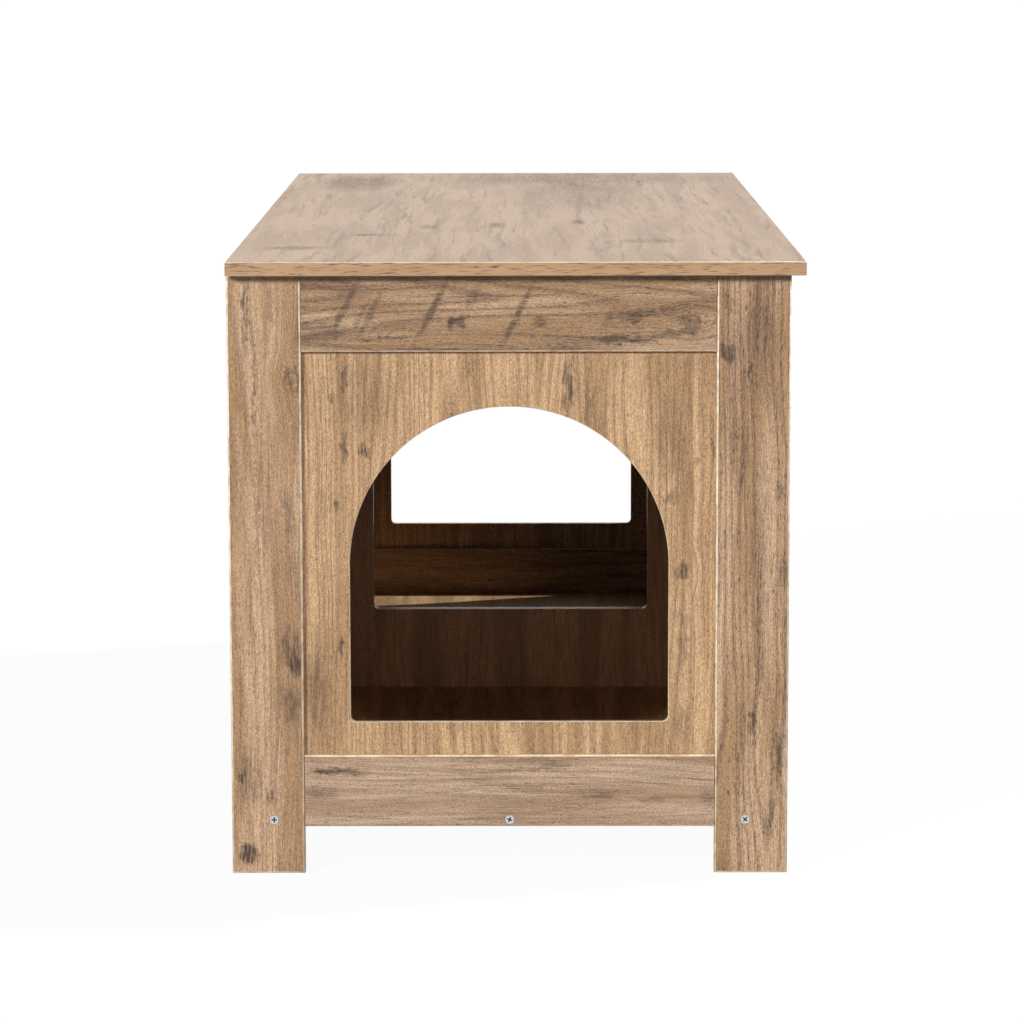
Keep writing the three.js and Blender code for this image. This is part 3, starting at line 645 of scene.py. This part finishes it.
def is_eased(edge, low, high, through, opening):
    """True for a corner between a wide face and an outside edge, or the wall of the board's opening."""
    if not is_sharp(edge):
        return False
    wide, narrow = sorted(edge.link_faces, key=lambda face: -abs(face.normal[through]))
    if abs(wide.normal[through]) < SQUARE or abs(narrow.normal[through]) > 1 - SQUARE:
        return False
    middle = wide.calc_center_bounds()
    if min(middle[through] - low[through], high[through] - middle[through]) > TOUCH:
        return False
    if opening:
        return all(low[k] + opening < v.co[k] < high[k] - opening for v in edge.verts for k in range(3)
                   if k != through)
    side = max(range(3), key=lambda k: abs(narrow.normal[k]))
    at = narrow.verts[0].co[side]
    return min(at - low[side], high[side] - at) < TOUCH


print("corners that turn by more than", round(degrees(SHARP)), "degrees are sharp")

# %% [markdown]
# ### Every face in its own material
#
# The bevel's own faces are what the scraper laid bare, so they take the cream material. The two wide faces
# take the print, also down into the countersinks, and the narrow faces take the edge band that runs along
# them. The frames have a wide arris, as the pale lines in the photograph are wide. The thin panels and the
# top are only sanded, and of a panel with an arch only the arch, because its neighbours hide its outside.

# %% Bevel and dress one board
ARRIS = 1.5 * MM
PANEL_ARRIS = 0.5 * MM
OPENING_MARGIN = 6 * MM  # every corner of an arch lies further than this inside its board
PRINTED = 0.7  # the share of a face's normal through the board, from which it takes the print
FACE, FIRST_BAND, CREAM = 0, 1, 4  # each board's materials: the print, three edge bands, the bare plastic


def rounded(mesh, edges, width, **options):
    """Bevels edges by that width, in two steps that follow a quarter round."""
    bmesh.ops.bevel(mesh, geom=edges, offset=width, offset_type="OFFSET", segments=2, profile=0.5,
                    affect="EDGES", **options)


def data_of(mesh, name, *materials):
    """Ends a bmesh as the data of a piece, with its materials in order."""
    data = bpy.data.meshes.new(name)
    mesh.to_mesh(data)
    mesh.free()
    for material in materials:
        data.materials.append(material)
    return data


def hung(name, data, rides, slot, replaced=None):
    """A piece in the scene that rides with the body of a loaded one, which it may replace."""
    piece = bpy.data.objects.new(name, data)
    bpy.context.scene.collection.objects.link(piece)
    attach(piece, body_of[rides])
    if replaced:
        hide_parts(replaced)
    return piece


def dressed_board(name, print_material):
    """Hangs a copy of a board, its outside corners eased and each kind of face in its own material."""
    low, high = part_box(name)
    through = "xyz".index(grain_of(name)[2])
    opening = OPENING_MARGIN if "arch_panel" in name or name == "divider_panel" else 0
    width = PANEL_ARRIS if "panel" in name or name == "top_board" else ARRIS
    mesh = welded(name)
    mesh.normal_update()
    corners = [edge for edge in mesh.edges if is_eased(edge, low, high, through, opening)]
    if corners:
        rounded(mesh, corners, width, clamp_overlap=False, material=CREAM)
    for face in mesh.faces:
        if face.material_index == CREAM:
            face.smooth = True
        elif abs(face.normal[through]) > PRINTED:
            face.material_index = FACE
        else:
            side = max(range(3), key=lambda k: abs(face.normal[k]))
            along = 3 - through - side  # the one of the axes 0, 1 and 2 that is left
            face.material_index = FIRST_BAND + along
    data = data_of(mesh, name + "_dressed", print_material, *edge_bands.values(), arris)
    hung(name + "_dressed", data, name, slot_of[name], name)
    return len(corners)


print("frames eased by", round(ARRIS / MM, 1), "mm, panels and top by", round(PANEL_ARRIS / MM, 1), "mm")

# %% [markdown]
# ## The boards that the photograph shows
#
# These boards are the ones that the photograph shows clearly, so their knots, stains and saw marks stand
# where it shows them, and one wide oval on the top is painted shade that darkens its far end. Places are
# millimetres from the cabinet's own origin: first along the grain, which is up a stile or a panel, towards
# the back in a rail and towards the far end in the top, and then across it. A knot is along, across and
# radius. A stain or a stroke is along, across, length, width, strength, and perhaps a lean in degrees. A seam
# is a place across.

# %% Write down what it shows on each board
PICTURED = {
    "left_end_back_stile": dict(
        Bands=0.6, Rings=0.3,
        knots=[(436, 200, 7)],
        stains=[(490, 240, 90, 9, 0.6), (430, 232, 150, 5, 0.5), (330, 230, 200, 6, 0.3),
                (500, 218, 60, 6, 0.35), (320, 204, 60, 16, 0.4, 12), (200, 203, 50, 28, 0.65),
                (186, 200, 30, 18, 1.0), (151, 203, 46, 22, 0.6), (88, 240, 70, 26, 0.45),
                (86, 246, 26, 6, 0.9), (69, 222, 16, 12, 0.6), (18, 242, 30, 24, 1.1)]),
    "left_end_front_stile": dict(
        Bands=0.85, Rings=0.5, Pores=0.95, Tone=0.96,
        stains=[(504, -176, 30, 14, 0.5), (459, -177, 24, 24, 0.9), (442, -197, 36, 5, 0.8),
                (470, -200, 120, 60, 0.25), (339, -222, 24, 10, 0.5), (300, -205, 220, 26, 0.25),
                (269, -227, 40, 12, 0.5), (136, -200, 26, 9, 0.75), (103, -223, 80, 12, 0.65),
                (74, -180, 6, 5, 1.0), (52, -217, 50, 12, 0.5)]),
    "left_end_top_rail": dict(
        Bands=0.9, Rings=0.6, Pores=0.9, Tone=0.86,
        knots=[(-145, 488, 6)],
        strokes=[(156, 495, 10, 92, 0.62, 27), (130, 497, 9, 64, 0.45, 27), (141, 490, 6, 44, 0.35, 27),
                 (79, 496, 10, 92, 0.62, 27), (43, 508, 12, 40, 0.35, 27), (4, 494, 9, 96, 0.65, 27),
                 (-75, 492, 9, 70, 0.3, 27), (-88, 500, 6, 34, 0.25, 27)],
        stains=[(177, 479, 70, 26, 0.5), (57, 487, 22, 18, 1.0), (114, 474, 100, 4, 0.8, -4),
                (-17, 487, 22, 15, 0.7), (-96, 489, 30, 14, 0.65), (-89, 471, 80, 10, 0.7),
                (-136, 478, 60, 12, 0.6, -8), (-143, 488, 30, 16, 0.5)]),
    "left_end_bottom_rail": dict(
        Light="#bfa287", Middle="#a6886c", Brown="#82674f", Rings=0.3,
        stains=[(163, 91, 76, 10, 0.75), (177, 72, 50, 14, 0.4), (-10, 94, 110, 9, 0.5, -4),
                (-67, 70, 46, 16, 0.45), (-112, 65, 34, 9, 0.45), (-162, 68, 20, 14, 0.5)]),
    "left_end_arch_panel": dict(
        Rings=0.5,
        knots=[(268, -139, 6), (426, -82, 3)],
        stains=[(422, 138, 90, 90, 0.3), (436, 154, 46, 9, 0.7), (379, 154, 36, 9, 0.75),
                (373, 137, 22, 16, 0.8), (423, 165, 16, 12, 0.5), (326, 162, 18, 5, 0.7),
                (202, 159, 30, 7, 0.9), (162, 180, 110, 30, 0.45), (447, 48, 36, 12, 0.35),
                (432, -39, 66, 14, 0.75), (420, -57, 60, 7, 0.55), (387, -128, 110, 34, 0.3),
                (334, -129, 18, 22, 0.5), (268, -139, 20, 16, 0.8), (214, -139, 110, 16, 0.55),
                (132, -138, 50, 18, 0.4), (375, -165, 30, 4, 0.7), (364, -151, 14, 6, 0.6)],
        seams=[-148]),
    "top_board": dict(
        Brown="#7d6450",
        # The oval 500 mm along and 420 mm wide is painted shade that darkens the far end of the top; the
        # other ovals are stains of the print.
        stains=[(280, -60, 800, 200, 0.32), (430, 180, 360, 130, 0.55), (500, -60, 320, 420, 0.45),
                (369, -58, 300, 60, 0.5), (-149, -55, 90, 20, 0.6), (-379, -117, 70, 90, 0.4),
                (-303, 143, 30, 44, 0.7), (-449, 203, 60, 80, 0.5), (-208, 89, 80, 24, 0.5),
                (-185, 25, 90, 24, 0.65), (420, -130, 300, 10, 0.6)],
        seams=[-154, 40]),
}
print(sum(len(shown.get("stains", ())) for shown in PICTURED.values()), "stains on", len(PICTURED), "boards")

# %% [markdown]
# ## Dressing the cabinet
#
# Every wooden board is now printed, eased and dressed by the same few lines. Counting them in the order of
# their names gives each one its own number, and so its own part of the printed sheet, the same at every run.
# Random numbers would do it too, but by a plain count no two boards can come out alike.

# %% Dress every board
wooden = [name for name in nodes if slot_of[name].endswith("laminate")]
eased = 0
for sheet, name in enumerate(sorted(wooden), start=1):
    eased += dressed_board(name, melamine_oak(name, sheet, **PICTURED.get(name, {})))
print(len(wooden), "boards,", eased, "corners eased")

# %% [markdown]
# ## Wear on metal and plastic
#
# Handling wears every fitting along its edges first. The edges could be painted by hand, but a Bevel node
# finds them by itself: it gives the normal that a rounded edge would have, and where that differs from the
# true normal an edge is near. The wear is laid there, broken up by the grain of the surface.

# %% Find the worn edges
WEAR_REACH = 0.5 * MM
BEVEL_RAYS = 4


def worn_edges(tree, grain):
    """1 along the edges where the grain lets the wear through, else 0."""
    round_edge = add(tree, "ShaderNodeBevel", {"Radius": WEAR_REACH}, samples=BEVEL_RAYS)
    true = add(tree, "ShaderNodeNewGeometry")
    alike = add(tree, "ShaderNodeVectorMath", {0: round_edge.outputs[0], 1: true.outputs["Normal"]},
                operation="DOT_PRODUCT").outputs["Value"]
    edge = add(tree, "ShaderNodeMapRange", {"Value": alike, "From Min": 0.99, "From Max": 0.9})
    gaps = add(tree, "ShaderNodeMapRange", {"Value": grain, "From Min": 0.4, "From Max": 0.6})
    return add(tree, "ShaderNodeMath", {0: edge.outputs[0], 1: gaps.outputs[0]},
               operation="MULTIPLY").outputs[0]


print("wear reaches", round(WEAR_REACH / MM, 1), "mm in from an edge")

# %% [markdown]
# ## Metal and plastic
#
# The screws are steel under bright zinc, which is a soft grey mirror with a faint crystal pattern. Their
# cross recess is coloured blue-black, which is painted shade inside the recess. Knobs and hinges are iron
# under a black powder coat, which melts into a fine orange-peel skin. The catches are moulded nylon and the
# foot is moulded polypropylene, both with the matt grain of the mould. Five times it is the same surface with
# other numbers: a colour that drifts between two tones, a sheen and a relief that follow the same grain, and
# worn edges.

# %% Finishes of the fittings
def grained(name, colours, shine, mark, relief, metallic=0.0, **sockets):
    """Two tones and a worn one, whose sheen and relief follow one noise. Mark and relief are in mm."""
    material, tree = new_material(name)
    place = add(tree, "ShaderNodeTexCoord").outputs["Object"]
    grain = add(tree, "ShaderNodeTexNoise",
                {"Vector": place, "Scale": 1 / (mark * MM), "Detail": 3.0}).outputs[0]
    tint = add(tree, "ShaderNodeMix", {0: grain, MIX_A: linear(colours[0]), MIX_B: linear(colours[1])},
               data_type="RGBA").outputs[MIX_COLOUR]
    worn = add(tree, "ShaderNodeMix", {0: worn_edges(tree, grain), MIX_A: tint, MIX_B: linear(colours[2])},
               data_type="RGBA").outputs[MIX_COLOUR]
    sheen = add(tree, "ShaderNodeMapRange", {"Value": grain, "From Min": 0.3, "From Max": 0.7,
                                             "To Min": shine[0], "To Max": shine[1]})
    bump = add(tree, "ShaderNodeBump", {"Height": grain, "Distance": relief * MM})
    surface = add(tree, "ShaderNodeBsdfPrincipled", {"Base Color": worn, "Metallic": metallic,
                                                     "Roughness": sheen.outputs[0],
                                                     "Normal": bump.outputs[0], **sockets})
    finish_with(tree, surface)
    return material


zinc = grained("bright zinc on steel", colours=("#d6d9db", "#bcc1c6", "#e9ebec"), shine=(0.22, 0.38),
               mark=0.9, relief=0.01, metallic=1.0)
# Painted shade: the blue-black colour of the cross recess stands in for the shade that falls inside it.
recess_painted_shade = grained("blue-black painted shade in the recess", colours=("#39434d", "#222a32", "#7d868e"),
                      shine=(0.45, 0.6), mark=0.4, relief=0.01, metallic=1.0)
powder_coat = grained("black powder coat on iron", colours=("#2e2b29", "#211f1e", "#55504b"),
                      shine=(0.42, 0.56), mark=0.8, relief=0.03, IOR=1.5)
brown_nylon = grained("moulded brown nylon", colours=("#7a5c3e", "#6b4f35", "#96795a"), shine=(0.45, 0.6),
                      mark=0.5, relief=0.02, IOR=1.53)
black_plastic = grained("moulded black polypropylene", colours=("#262626", "#1d1d1d", "#4a4a4a"),
                        shine=(0.5, 0.66), mark=0.6, relief=0.02, IOR=1.49)
FITTINGS = {"zinc_steel": zinc, "black_iron": powder_coat, "catch_plastic": brown_nylon,
            "black_plastic": black_plastic}
print("fittings in", ", ".join(FITTINGS))

# %% [markdown]
# ## Turned pieces
#
# The knobs and the foot are round about an axis, as if turned on a lathe, so each is one profile spun round.
# The loaded ones have 24 flat sides. Sixty-four, shaded smooth, look round even close by. A profile is a list
# of radius and height in millimetres, and it begins and ends on the axis so that the skin closes. The Screw
# modifier could spin it, but a few lines that lay ring on ring also serve the screws, which need faces of two
# materials.

# %% A lathe
ROUND = 64
SMOOTH_UP_TO = radians(35)


def smooth_piece(name, data, rides, slot, replaced=None):
    """Hangs a piece that is shaded smooth but for its sharp corners."""
    data.shade_smooth()
    data.set_sharp_from_angle(angle=SMOOTH_UP_TO)
    return hung(name, data, rides, slot, replaced)


def circle(radius, height):
    """The points of a turned ring, or the one point on the axis."""
    return [Vector((radius * cos(2 * pi * k / ROUND), radius * sin(2 * pi * k / ROUND), height))
            for k in range(ROUND if radius else 1)]


def skin_between(one, other, starts):
    """The faces between two neighbouring rings, the first points of which have the given numbers."""
    low, high = starts
    for k in range(ROUND):
        after = (k + 1) % ROUND
        corners = [low + k % len(one), low + after % len(one),
                   high + after % len(other), high + k % len(other)]
        yield list(dict.fromkeys(corners))


def upright(place, out):
    """The matrix that stands a shape in millimetres at a place, with its axis along out."""
    turn = Vector(out).to_track_quat("Z", "Y").to_matrix().to_4x4()
    return Matrix.Translation(place) @ turn @ Matrix.Scale(MM, 4)


def spun(name, profile, place, out, material):
    """A mesh spun from (radius, height) pairs."""
    rings = [circle(*pair) for pair in profile]
    starts = [sum(len(ring) for ring in rings[:at]) for at in range(len(rings))]
    faces = [face for at in range(len(rings) - 1)
             for face in skin_between(rings[at], rings[at + 1], starts[at:at + 2])]
    data = bpy.data.meshes.new(name)
    data.from_pydata([point for ring in rings for point in ring], [], faces)
    data.transform(upright(place, out))
    data.materials.append(material)
    return data


print("the lathe turns pieces of", ROUND, "sides")

# %% [markdown]
# ### The knobs
#
# A knob is a mushroom on a waisted stem. It is hollow up the middle for the screw that comes through the
# door, so its profile starts at the bottom of that bore.

# %% Turn the knobs
KNOB = [(0, 12), (2.3, 12), (2.3, 0), (6.8, 0), (7, 0.3), (7, 1.8), (6.4, 2.9), (5.4, 4.2), (5, 5.6),
        (5, 8.5), (5.6, 11), (7.4, 13.6), (10, 16.2), (12.3, 18.4), (13.6, 20.6), (14, 22.8), (13.8, 25),
        (13, 27.2), (11.6, 28.8), (9.4, 29.5), (5, 29.65), (0, 29.7)]
for name in ("left_door_knob", "right_door_knob"):
    low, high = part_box(name)
    stands_at = Vector(((low[0] + high[0]) / 2, high[1], (low[2] + high[2]) / 2))
    turned = spun(name + "_turned", KNOB, stands_at, (0, -1, 0), powder_coat)
    smooth_piece(name + "_turned", turned, name, slot_of[name], name)
print("turned two knobs with a profile of", len(KNOB), "points")

# %% [markdown]
# ### The foot
#
# The foot under the middle of the floor board is a broad pad, a post and a flange. The pad and the flange
# keep their height whatever the cabinet's, so the upper half of the profile is counted down from the board.

# %% Turn the foot
low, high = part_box("centre_foot")
rise = (high[2] - low[2]) / MM
FOOT = [(0, 0), (21.2, 0), (22, 0.8), (22, 4.2), (21.2, 5), (11.4, 9.3), (10.3, 10), (10, 11),
        (10, rise - 5), (10.6, rise - 3.9), (18.4, rise - 3), (19, rise - 2.4), (19, rise), (0, rise)]
stands_at = Vector(((low[0] + high[0]) / 2, (low[1] + high[1]) / 2, low[2]))
turned = spun("centre_foot_turned", FOOT, stands_at, (0, 0, 1), black_plastic)
smooth_piece("centre_foot_turned", turned, "centre_foot", slot_of["centre_foot"], "centre_foot")
print("turned a foot", round(rise, 1), "mm high")

# %% [markdown]
# ## Screws with a cross in them
#
# A screw's face is a disc with a cross punched into it. The punch leaves sloping walls and a bottom smaller
# than the mouth. A boolean could cut it, but Blender can also fill the space between an outline and a hole
# with triangles, which makes the face and leaves a clean mesh. The rest is turned like the knobs. One recipe
# serves the floor screws, which are countersunk, the small screws of the fittings, and the domed ones that
# hold the knobs.

# %% The shape of one screw
FLOOR_SCREW = [(3.85, 0), (4, -0.15), (2, -2.2), (2, -36), (0, -40)]
SMALL_SCREW = [(2.25, 0), (2.4, -0.12), (1.2, -1.3), (1.2, -9.6), (0, -12)]
DOMED_SCREW = [(2.6, 0), (3.7, -0.45), (4.1, -1.1), (4.2, -1.7), (4.2, -2.4), (2, -2.4), (2, -25.7),
               (0, -27.7)]
ARM = 0.155  # half the width of an arm of the cross, as a share of the head's radius
CROSS = [(1, 1), (4, 1), (4, -1), (1, -1), (1, -4), (-1, -4),
         (-1, -1), (-4, -1), (-4, 1), (-1, 1), (-1, 4), (1, 4)]  # in half widths of an arm
BOTTOM = 0.6  # the size of the recess's bottom, as a share of its mouth's
RECESS_DEPTH = 2.4  # in half widths of an arm


def screw_shape(profile, turn):
    """Points, faces of the zinc and faces of the recess of one screw, whose head is at the origin."""
    rings = [circle(*pair) for pair in profile]
    arm = ARM * profile[1][0]
    mouth = [(Matrix.Rotation(turn, 2) @ Vector(corner) * arm).to_3d() for corner in CROSS]
    bottom = [Vector((point.x * BOTTOM, point.y * BOTTOM, -RECESS_DEPTH * arm)) for point in mouth]
    points = rings[0] + mouth + bottom
    cross, under = ROUND, ROUND + len(CROSS)
    zinc_faces = [list(face) for face in tessellate_polygon([rings[0], mouth])]
    steps = [(k, (k + 1) % len(CROSS)) for k in range(len(CROSS))]
    recess_faces = [[cross + k, cross + after, under + after, under + k] for k, after in steps]
    recess_faces.append(list(range(under, under + len(CROSS))))
    start = 0
    for one, other in zip(rings, rings[1:]):
        zinc_faces += skin_between(one, other, (start, len(points)))
        start = len(points)
        points = points + other
    return points, zinc_faces, recess_faces


print("crosses", [round(8 * ARM * profile[1][0], 1) for profile in (FLOOR_SCREW, SMALL_SCREW)], "mm wide")

# %% [markdown]
# ### A set of screws
#
# The screws of one fitting are one mesh. No two screws stop at the same turn, so each is turned by its number
# in the set and its place on the cabinet.

# %% Cut the crosses
FIRST_TURN = 0.4  # radians
TURN_BY_NUMBER = 1.1
TURN_BY_PLACE = 70  # per metre towards the back
ZINC_PART, RECESS_PART = 0, 1


def screws(name, places, out, rides, profile, replaced=None):
    """One mesh of screws whose heads are at those places and look along out."""
    points, zinc_faces, recess_faces = [], [], []
    for at, place in enumerate(places):
        turn = FIRST_TURN + TURN_BY_NUMBER * at + TURN_BY_PLACE * place.y
        shape, skin, pit = screw_shape(profile, turn)
        zinc_faces += [[len(points) + k for k in face] for face in skin]
        recess_faces += [[len(points) + k for k in face] for face in pit]
        points += [upright(place, out) @ point for point in shape]
    shell = bpy.data.meshes.new(name)
    shell.from_pydata(points, [], zinc_faces + recess_faces)
    mesh = bmesh.new()
    mesh.from_mesh(shell)
    bpy.data.meshes.remove(shell)
    # The faces of the recess take the blue-black painted shade, the others the zinc.
    for number, face in enumerate(mesh.faces):
        face.material_index = ZINC_PART if number < len(zinc_faces) else RECESS_PART
    bmesh.ops.recalc_face_normals(mesh, faces=mesh.faces)
    return smooth_piece(name, data_of(mesh, name, zinc, recess_painted_shade), rides, "zinc_steel", replaced)


cut = 0
for name in sorted(nodes):
    low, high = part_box(name)
    middle = (low + high) / 2
    if "_end_screw_" in name:
        out = -1 if middle[0] < 0 else 1
        face_x = low[0] if out < 0 else high[0]
        screws(name + "_cut", [Vector((face_x, middle[1], middle[2]))], (out, 0, 0), name, FLOOR_SCREW, name)
        cut += 1
    elif name.endswith("knob_screw"):
        head = Vector((middle[0], high[1], middle[2]))
        screws(name + "_cut", [head], (0, 1, 0), name, DOMED_SCREW, name)
        cut += 1
print("cut a cross into", cut, "screws")

# %% [markdown]
# ## Hinges, strikes and catches
#
# These keep the shape that was loaded, but no stamped or moulded piece has corners that sharp. Each is welded
# into one skin and rounded by a fraction of a millimetre: stamped metal less, and moulded nylon more.

# %% Soften the small fittings
STAMPED_EDGE = 0.2 * MM
MOULDED_EDGE = 0.5 * MM


def softened(name, width):
    """Hangs a copy of a loaded fitting, with every sharp edge rounded by that width."""
    mesh = welded(name)
    sharp = [edge for edge in mesh.edges if is_sharp(edge)]
    rounded(mesh, sharp, width, clamp_overlap=True)
    data = data_of(mesh, name + "_softened", FITTINGS[slot_of[name]])
    smooth_piece(name + "_softened", data, name, slot_of[name], name)
    return len(sharp)


print("stamped edges", round(STAMPED_EDGE / MM, 1), "mm, moulded ones", round(MOULDED_EDGE / MM, 1), "mm")

# %% [markdown]
# ### Their screws and plates
#
# The loaded fittings have no screws of their own, so they are added: three in each leaf of a hinge,
# staggered so that they don't split the board, one in a strike plate and two in a catch. A leaf is measured
# from its knuckles, whose outside lies in line with the leaf on the frame. The door's leaf folds against
# that, one thin space nearer the middle. A catch also gets the two steel pole plates between which its magnet
# sits.

# %% Screw the fittings on
SHOWN = 0.1 * MM  # a small screw's head stands out this little
LEAF = 1.2 * MM
LEAF_SPACE = 0.6 * MM
LEAF_SCREWS = [(-18, 5), (0, 1), (18, 5)]  # up, and back, from the middle of a leaf and its knuckles, mm
CATCH_SCREW_IN = 10 * MM  # from the catch's end behind the centre stile
CATCH_SCREW_RISE = 3.6 * MM


def screw_on_leaf(name, low, high, side):
    """Three screws in the face that one leaf of a hinge shows to the other."""
    middle = (low + high) / 2
    on_frame = name.endswith("frame_leaf")
    outside = max(low[0], high[0], key=abs)
    plate_x = outside - side * (LEAF if on_frame else LEAF + LEAF_SPACE)
    out = -side if on_frame else side
    places = [Vector((plate_x + out * SHOWN, middle[1] + back * MM, middle[2] + up * MM))
              for up, back in LEAF_SCREWS]
    screws(name + "_screws", places, (out, 0, 0), name, SMALL_SCREW)


def screw_on_strike(name, low, high):
    """One screw in the middle of a strike plate."""
    middle = (low + high) / 2
    screws(name + "_screw", [Vector((middle[0], high[1] + SHOWN, middle[2]))], (0, 1, 0), name, SMALL_SCREW)


def screw_on_catch(name, low, high, side):
    """Two screws through a catch into the centre stile."""
    inner_end = min(low[0], high[0], key=abs)
    places = [Vector((inner_end + side * CATCH_SCREW_IN, high[1] + SHOWN, (low[2] + high[2]) / 2 + rise))
              for rise in (-CATCH_SCREW_RISE, CATCH_SCREW_RISE)]
    screws(name + "_screws", places, (0, 1, 0), name, SMALL_SCREW)


print("a hinge leaf takes", len(LEAF_SCREWS), "screws")

# %% Set the pole plates and finish every fitting
MAGNET_DEPTH = 13 * MM  # from the magnet's face to the rear of the catch
POLE_PLATE = Vector((22, 4.2, 1.6)) * MM
POLE_PROUD = 0.1 * MM  # a pole plate stands out of the magnet's face
POLE_INSET = 3.5 * MM  # from the upper and lower side of the catch
POLE_PLACE = 0.28  # from the catch's outer end, as a share of its length


def pole_plates(name, low, high):
    """Two thin steel plates that stand out of the magnet's face of a catch."""
    inner_end, outer_end = sorted((low[0], high[0]), key=abs)
    middle_x = outer_end - (outer_end - inner_end) * POLE_PLACE
    middle_y = high[1] - MAGNET_DEPTH + POLE_PLATE.y / 2 - POLE_PROUD
    mesh = bmesh.new()
    for z in (low[2] + POLE_INSET, high[2] - POLE_INSET):
        place = Matrix.Translation((middle_x, middle_y, z)) @ Matrix.Diagonal(POLE_PLATE.to_4d())
        plate = bmesh.ops.create_cube(mesh, size=1.0, matrix=place)
        rounded(mesh, list({edge for corner in plate["verts"] for edge in corner.link_edges}), STAMPED_EDGE)
    smooth_piece(name + "_pole_plates", data_of(mesh, name + "_pole_plates", zinc), name, "zinc_steel")


rounded_edges = 0
for name in sorted(nodes):
    if not name.endswith(("_leaf", "_pin", "_strike_plate", "_catch")):
        continue
    low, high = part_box(name)
    side = 1 if low[0] + high[0] > 0 else -1
    rounded_edges += softened(name, MOULDED_EDGE if name.endswith("_catch") else STAMPED_EDGE)
    if name.endswith("_leaf"):
        screw_on_leaf(name, low, high, side)
    elif name.endswith("_strike_plate"):
        screw_on_strike(name, low, high)
    elif name.endswith("_catch"):
        screw_on_catch(name, low, high, side)
        pole_plates(name, low, high)
print("rounded", rounded_edges, "edges of the hinges, strike plates and catches")
